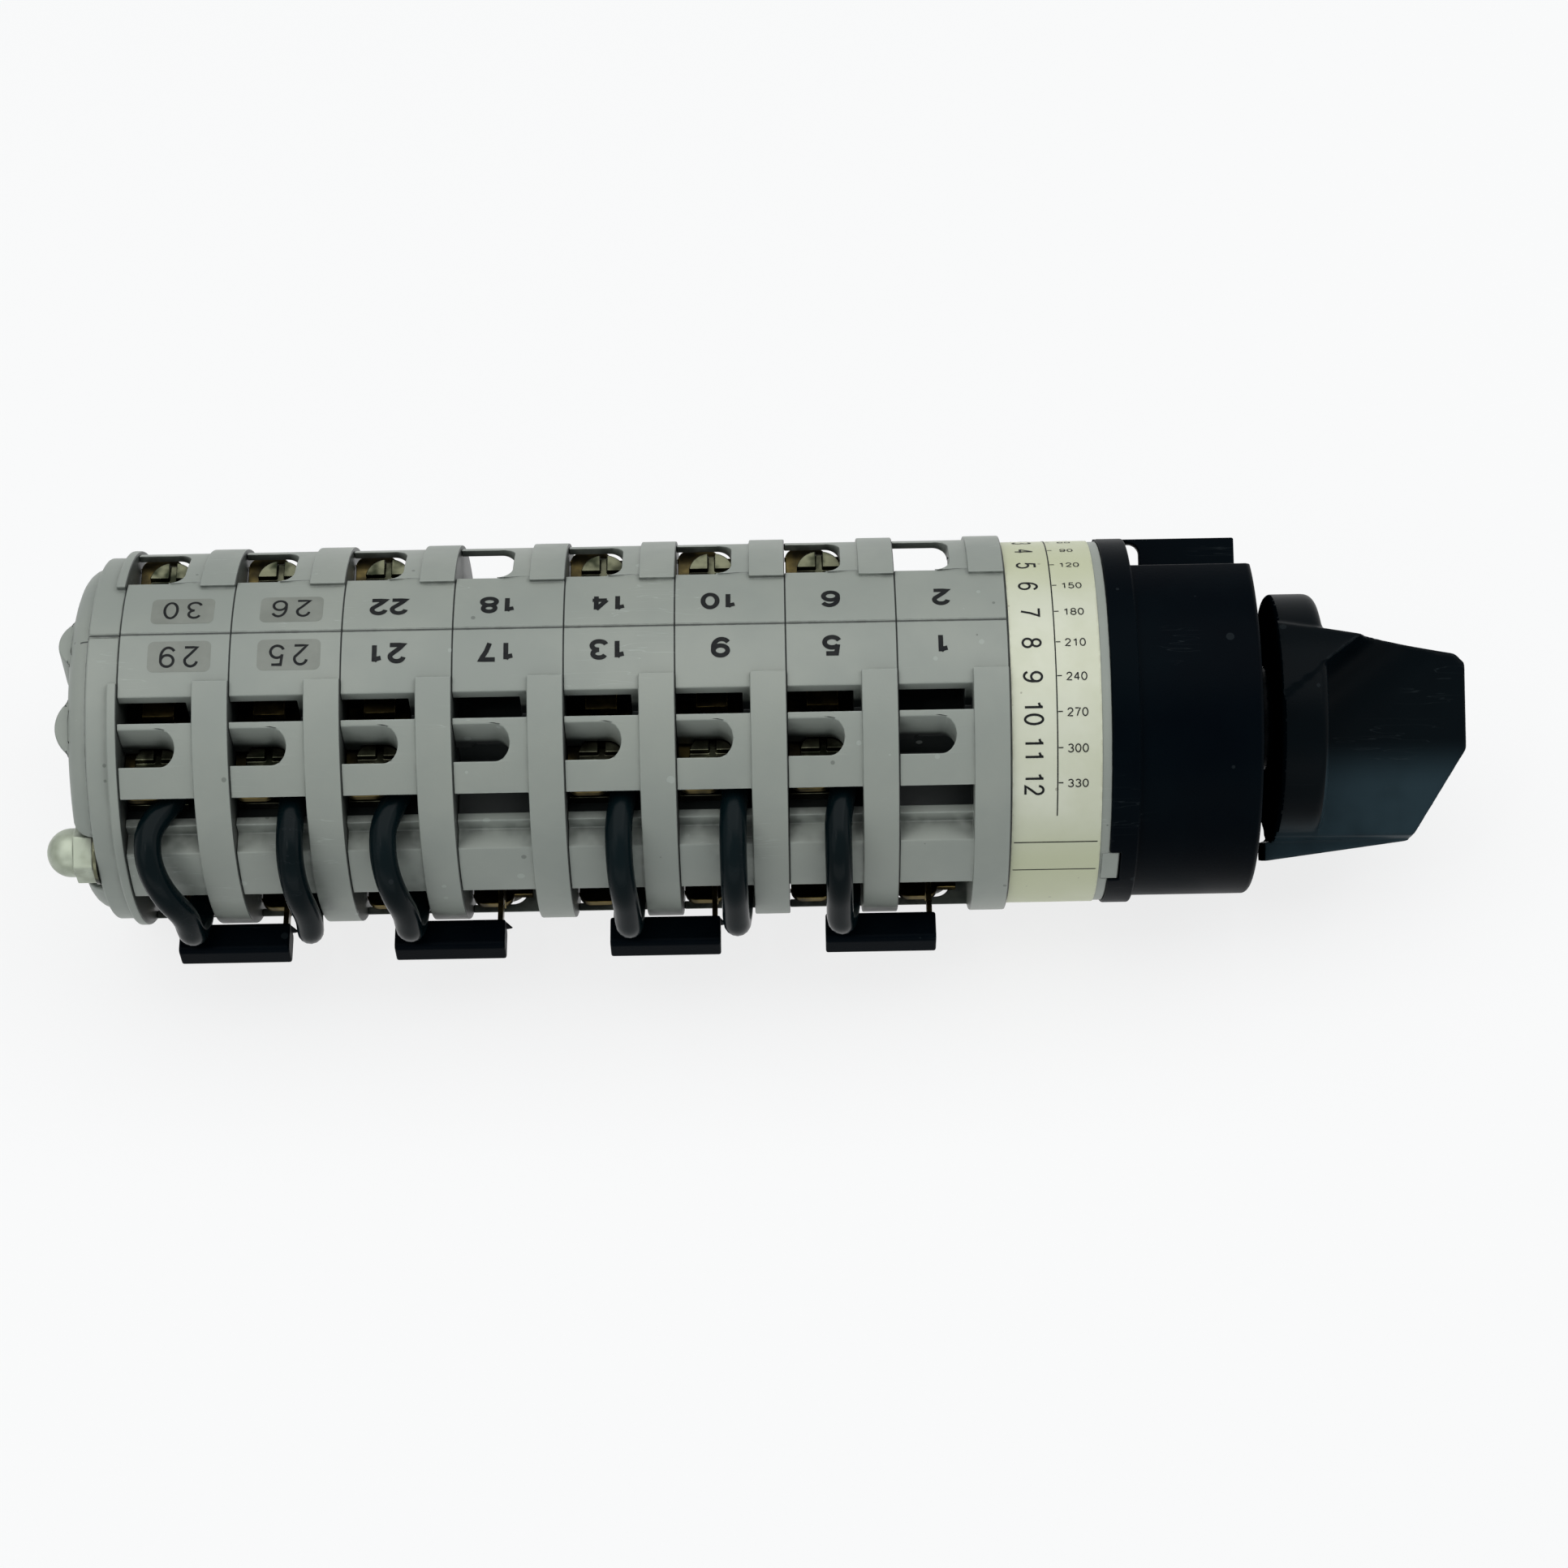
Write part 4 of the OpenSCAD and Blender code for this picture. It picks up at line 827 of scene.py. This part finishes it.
# %% From strokes to printed pieces
LONGEST_RUN = 0.6
INK_STEP = 0.002
SHARPEST_BEND = 0.6


def finer(stroke, longest):
    """The same stroke with its long runs cut into shorter ones."""
    points = [stroke[0]]
    for a, b in zip(stroke, stroke[1:]):
        parts = max(1, math.ceil(math.dist(a, b) / longest))
        points += [(a[0] + (b[0] - a[0]) * i / parts, a[1] + (b[1] - a[1]) * i / parts)
                   for i in range(1, parts + 1)]
    return points


def ribbon(form, stroke, width, place):
    """Adds one brush stroke to the mesh. place turns a flat point into a point in space."""
    rows = []
    for i, point in enumerate(stroke):
        before = Vector(stroke[max(0, i - 1)])
        after = Vector(stroke[min(len(stroke) - 1, i + 1)])
        if math.dist(stroke[0], stroke[-1]) < 1e-6 and i in (0, len(stroke) - 1):
            before, after = Vector(stroke[-2]), Vector(stroke[1])
        here = Vector(point)
        run = (after - before).normalized()
        bend = run.dot((after - here).normalized() if (after - here).length > 1e-9 else run)
        step = Vector((-run.y, run.x)) * width / 2 / max(SHARPEST_BEND, bend)
        rows.append([form.verts.new(place(*(here + step))), form.verts.new(place(*(here - step)))])
    for first, second in zip(rows, rows[1:]):
        form.faces.new((first[0], first[1], second[1], second[0]))


def printed(name, text, place, size_mm, pitch_mm, brush_mm):
    """Prints a row of digits, centred on the flat origin that place starts from."""
    form = bmesh.new()
    wide, tall = size_mm[0] - brush_mm, size_mm[1] - brush_mm
    lift = 0
    for column, digit in enumerate(text):
        left = (column - (len(text) - 1) / 2) * pitch_mm - wide / 2
        for stroke in DIGITS[digit]:
            flat = finer([(left + x * wide, (y - 0.5) * tall) for x, y in stroke], LONGEST_RUN)
            lift += INK_STEP
            ribbon(form, flat, brush_mm, lambda u, v, lift=lift: place(u, v, lift))
    piece = new_piece(name, form, finish["ink"])
    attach(piece, "switch_body")


print("Printing helpers ready")

# %% [markdown]
# Every deck carries two pairs of numbers, one pair on each side. The makers printed six decks with a broad
# type, and the two at the rear were numbered later with a finer one, wider apart, on stickers.

# %% Print the deck numbers
FIELD_R, INK_LIFT, STICKER_LIFT = 24.4, 0.03, 0.015
PITCH, STACK_FRONT = 14.25, -32.5
BROAD_TYPE = ((2.45, 2.95), 2.6, 0.62)
FINE_TYPE = ((2.0, 3.05), 3.05, 0.36)
STICKER_DECKS = (7, 8)
NUMBER_X, STICKER_X = 5.9, {7: 7.6, 8: 7.8}
NUMBER_PHI = (-6.9, 10.3, 173.1, 190.3)


def on_field(x_mm, phi, radius_mm):
    """Places flat print on its head, on the round surface. phi is in degrees from +Z towards +Y."""
    def place(u, v, lift):
        turn = math.radians(phi) - v / radius_mm
        r = radius_mm + lift
        return Vector((x_mm - u, r * math.sin(turn), r * math.cos(turn))) * MM
    return place


for k in DECKS:
    x = STACK_FRONT - PITCH * k + STICKER_X.get(k, NUMBER_X)
    for i, phi in enumerate(NUMBER_PHI):
        number = str(4 * k - 3 + i)
        kind = FINE_TYPE if k in STICKER_DECKS and i < 2 else BROAD_TYPE
        printed(f"number_{number}", number, on_field(x, phi, FIELD_R + INK_LIFT), *kind)

# %% [markdown]
# A sticker is a thin rounded rectangle, rolled onto the deck under its number. A flat face can't bend, so we
# first cut it into narrow strips across the roll.

# %% Stickers under the rear numbers
STICKER_SIZE, STICKER_CORNER = (8.1, 4.4), 0.8
STRIPS = 10


def rolled_plate(name, x_mm, phi, size_mm, corner_mm, radius_mm, material):
    """A rounded rectangle that follows the round surface."""
    half_x, half_y = size_mm[0] / 2, size_mm[1] / 2
    form = bmesh.new()
    ring = []
    for cx, cy, start in ((1, 1, 0), (-1, 1, 90), (-1, -1, 180), (1, -1, 270)):
        for i in range(7):
            a = math.radians(start + 15 * i)
            ring.append(form.verts.new((cx * (half_x - corner_mm) + corner_mm * math.cos(a),
                                        cy * (half_y - corner_mm) + corner_mm * math.sin(a), 0)))
    form.faces.new(ring)
    for i in range(1, STRIPS):
        cut = -half_y + 2 * half_y * i / STRIPS
        geometry = list(form.verts) + list(form.edges) + list(form.faces)
        bmesh.ops.bisect_plane(form, geom=geometry, plane_co=(0, cut, 0), plane_no=(0, 1, 0))
    for v in form.verts:
        turn = math.radians(phi) + v.co.y / radius_mm
        v.co = Vector(((x_mm + v.co.x) * MM, radius_mm * math.sin(turn) * MM,
                       radius_mm * math.cos(turn) * MM))
    return new_piece(name, form, material)


for k in STICKER_DECKS:
    for label, phi in (("lower", -6.7), ("upper", 10.1)):
        x = STACK_FRONT - PITCH * k + STICKER_X[k]
        piece = rolled_plate(f"sticker_{k}_{label}", x, phi, STICKER_SIZE, STICKER_CORNER,
                             FIELD_R + STICKER_LIFT, finish["sticker"])
        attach(piece, "switch_body")

# %% [markdown]
# The label's rules are thin printed lines. They are narrow bands rolled onto the film: one long line round
# the label, and two cross lines at its lower end.

# %% Ruled lines on the label
LABEL_R = 24.13
LINE_W = 0.16
LONG_LINE_X = -26.6
LABEL_REAR, LABEL_FRONT = -32, -21.2


def rolled_band(name, x0, x1, phi0, phi1):
    """Prints a narrow band on the label between two places along the axis and two angles."""
    steps = max(2, int(abs(phi1 - phi0) / 2))
    form = bmesh.new()
    rows = []
    for i in range(steps + 1):
        turn = math.radians(phi0 + (phi1 - phi0) * i / steps)
        rows.append([form.verts.new((x * MM, LABEL_R * math.sin(turn) * MM, LABEL_R * math.cos(turn) * MM))
                     for x in (x0, x1)])
    for first, second in zip(rows, rows[1:]):
        form.faces.new((first[0], first[1], second[1], second[0]))
    piece = new_piece(name, form, finish["ink"])
    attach(piece, "switch_body")


rolled_band("label_line_round", LONG_LINE_X, LONG_LINE_X + LINE_W, -62, 82)
for i, phi in enumerate((-72.2, -84.9)):
    rolled_band(f"label_line_{i}", LABEL_REAR, LABEL_FRONT, phi, phi + math.degrees(LINE_W / LABEL_R))

# %% [markdown]
# Beside the long line stand the twelve positions of the switch, and on its other side a short tick and the
# angle of the shaft at each of them. A position is read along the switch and an angle across it, so each
# kind has its own way onto the round film.

# %% Positions and angles on the label
POSITIONS = 12
FIRST_PHI, PHI_STEP = 70, 11
POSITION_X, POSITION_TYPE = -29.5, ((1.5, 2.6), 1.75, 0.3)
ANGLE_X, ANGLE_TYPE = -23.9, ((0.8, 1.15), 0.95, 0.15)
TICK_REAR, TICK_FRONT, TICK_WIDTH = -26.4, -25.8, 0.35


def on_label(x_mm, phi):
    """Places flat print on the label, with its tops towards the knob."""
    def place(u, v, lift):
        turn = math.radians(phi) - u / LABEL_R
        r = LABEL_R + lift
        return Vector((x_mm + v, r * math.sin(turn), r * math.cos(turn))) * MM
    return place


def on_label_across(x_mm, phi):
    """Places flat print on the label, with its tops towards +Y."""
    def place(u, v, lift):
        turn = math.radians(phi) + v / LABEL_R
        r = LABEL_R + lift
        return Vector((x_mm + u, r * math.sin(turn), r * math.cos(turn))) * MM
    return place


for i in range(POSITIONS):
    phi = FIRST_PHI - PHI_STEP * i
    angle = 360 // POSITIONS * i
    printed(f"label_position_{i + 1}", str(i + 1), on_label(POSITION_X, phi), *POSITION_TYPE)
    printed(f"label_angle_{i + 1}", str(angle), on_label_across(ANGLE_X, phi), *ANGLE_TYPE)
    rolled_band(f"label_tick_{i + 1}", TICK_REAR, TICK_FRONT, phi, phi + TICK_WIDTH)

# %% [markdown]
# Each jumper wire is a bent piece of wire with a soft sheath. Its middle line is a run of straight steps and
# bends, as one would bend it round a former: a step of one number is a length, and a step of two is a radius
# and an angle. It goes out from the upper terminal, down along the outside, and in to the lower one.

# %% The middle line of a wire
WIRE_START, WIRE_BEND = (-12.6, 12.5), (-17.3, 12.5)
WIRE_STEPS = ((3.2,), (8, 90), (5.78,), (5, 90), (0.7,), (2.5, -75), (2.6,), (2.5, 75))
STRAIGHT_STEP, BEND_STEP = 0.8, 7.5


def wire_route():
    """The wire's middle line in Y and Z, in mm."""
    y, z = WIRE_BEND
    heading = math.pi
    points = [WIRE_START, WIRE_BEND]
    for step in WIRE_STEPS:
        if len(step) == 1:
            parts = max(1, int(step[0] / STRAIGHT_STEP))
            for _ in range(parts):
                y += step[0] / parts * math.cos(heading)
                z += step[0] / parts * math.sin(heading)
                points.append((y, z))
        else:
            parts = max(2, int(abs(step[1]) / BEND_STEP))
            turn = math.radians(step[1]) / parts
            chord = 2 * step[0] * math.sin(abs(turn) / 2)
            for _ in range(parts):
                heading += turn / 2
                y += chord * math.cos(heading)
                z += chord * math.sin(heading)
                heading += turn / 2
                points.append((y, z))
    return points


print("End of the wire's line:", [round(v, 2) for v in wire_route()[-1]])

# %% [markdown]
# A curve with a round bevel makes a smooth tube, and a curve can lean a little, which a CAD solid can't do
# as easily. Real wires are bent by hand, so no two of them stand alike: each has its own sideways lean at
# its middle and at its foot.

# %% Jumper wires
WIRE_R = 1.75
WIRE_X = 7.65
LEAN = {2: (-1.35, -1.2), 3: (-0.6, -0.5), 4: (-1.0, -0.3),
        6: (-2.7, -0.5), 7: (-0.4, 1.0), 8: (-4.3, -0.5)}
LEAN_MIDDLE, LEAN_FOOT, LEAN_END = 10.5, 25, 36


def eased(value, low, high):
    """Goes smoothly from 0 at low to 1 at high."""
    t = max(0.0, min(1.0, (value - low) / (high - low)))
    return t * t * (3 - 2 * t)


def bent_wire(k):
    """A smooth tube for the wire of deck k."""
    x = STACK_FRONT - PITCH * k + WIRE_X
    route = wire_route()
    middle, foot = LEAN[k]
    run = 0
    before = route[1]
    curve = bpy.data.curves.new(f"jumper_sheath_{k}", "CURVE")
    curve.dimensions = "3D"
    curve.bevel_depth = WIRE_R * MM
    curve.bevel_resolution = 6
    curve.use_fill_caps = True
    spline = curve.splines.new("POLY")
    spline.points.add(len(route) - 1)
    for point, (y, z) in zip(spline.points, route):
        run += math.dist(before, (y, z)) if run or y < before[0] else 0
        before = (y, z)
        lean = middle * eased(run, 1, LEAN_MIDDLE)
        lean += (foot - middle) * eased(run, LEAN_MIDDLE + 1, LEAN_FOOT)
        lean -= foot * eased(run, LEAN_FOOT, LEAN_END)
        point.co = ((x + lean) * MM, y * MM, z * MM, 1)
    spline.use_smooth = True
    curve.materials.append(finish["wire_sheath"])
    piece = bpy.data.objects.new(f"jumper_sheath_{k}", curve)
    scene.collection.objects.link(piece)
    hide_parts(f"jumper_wire_{k}")
    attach(piece, "switch_body")


for k in LEAN:
    bent_wire(k)
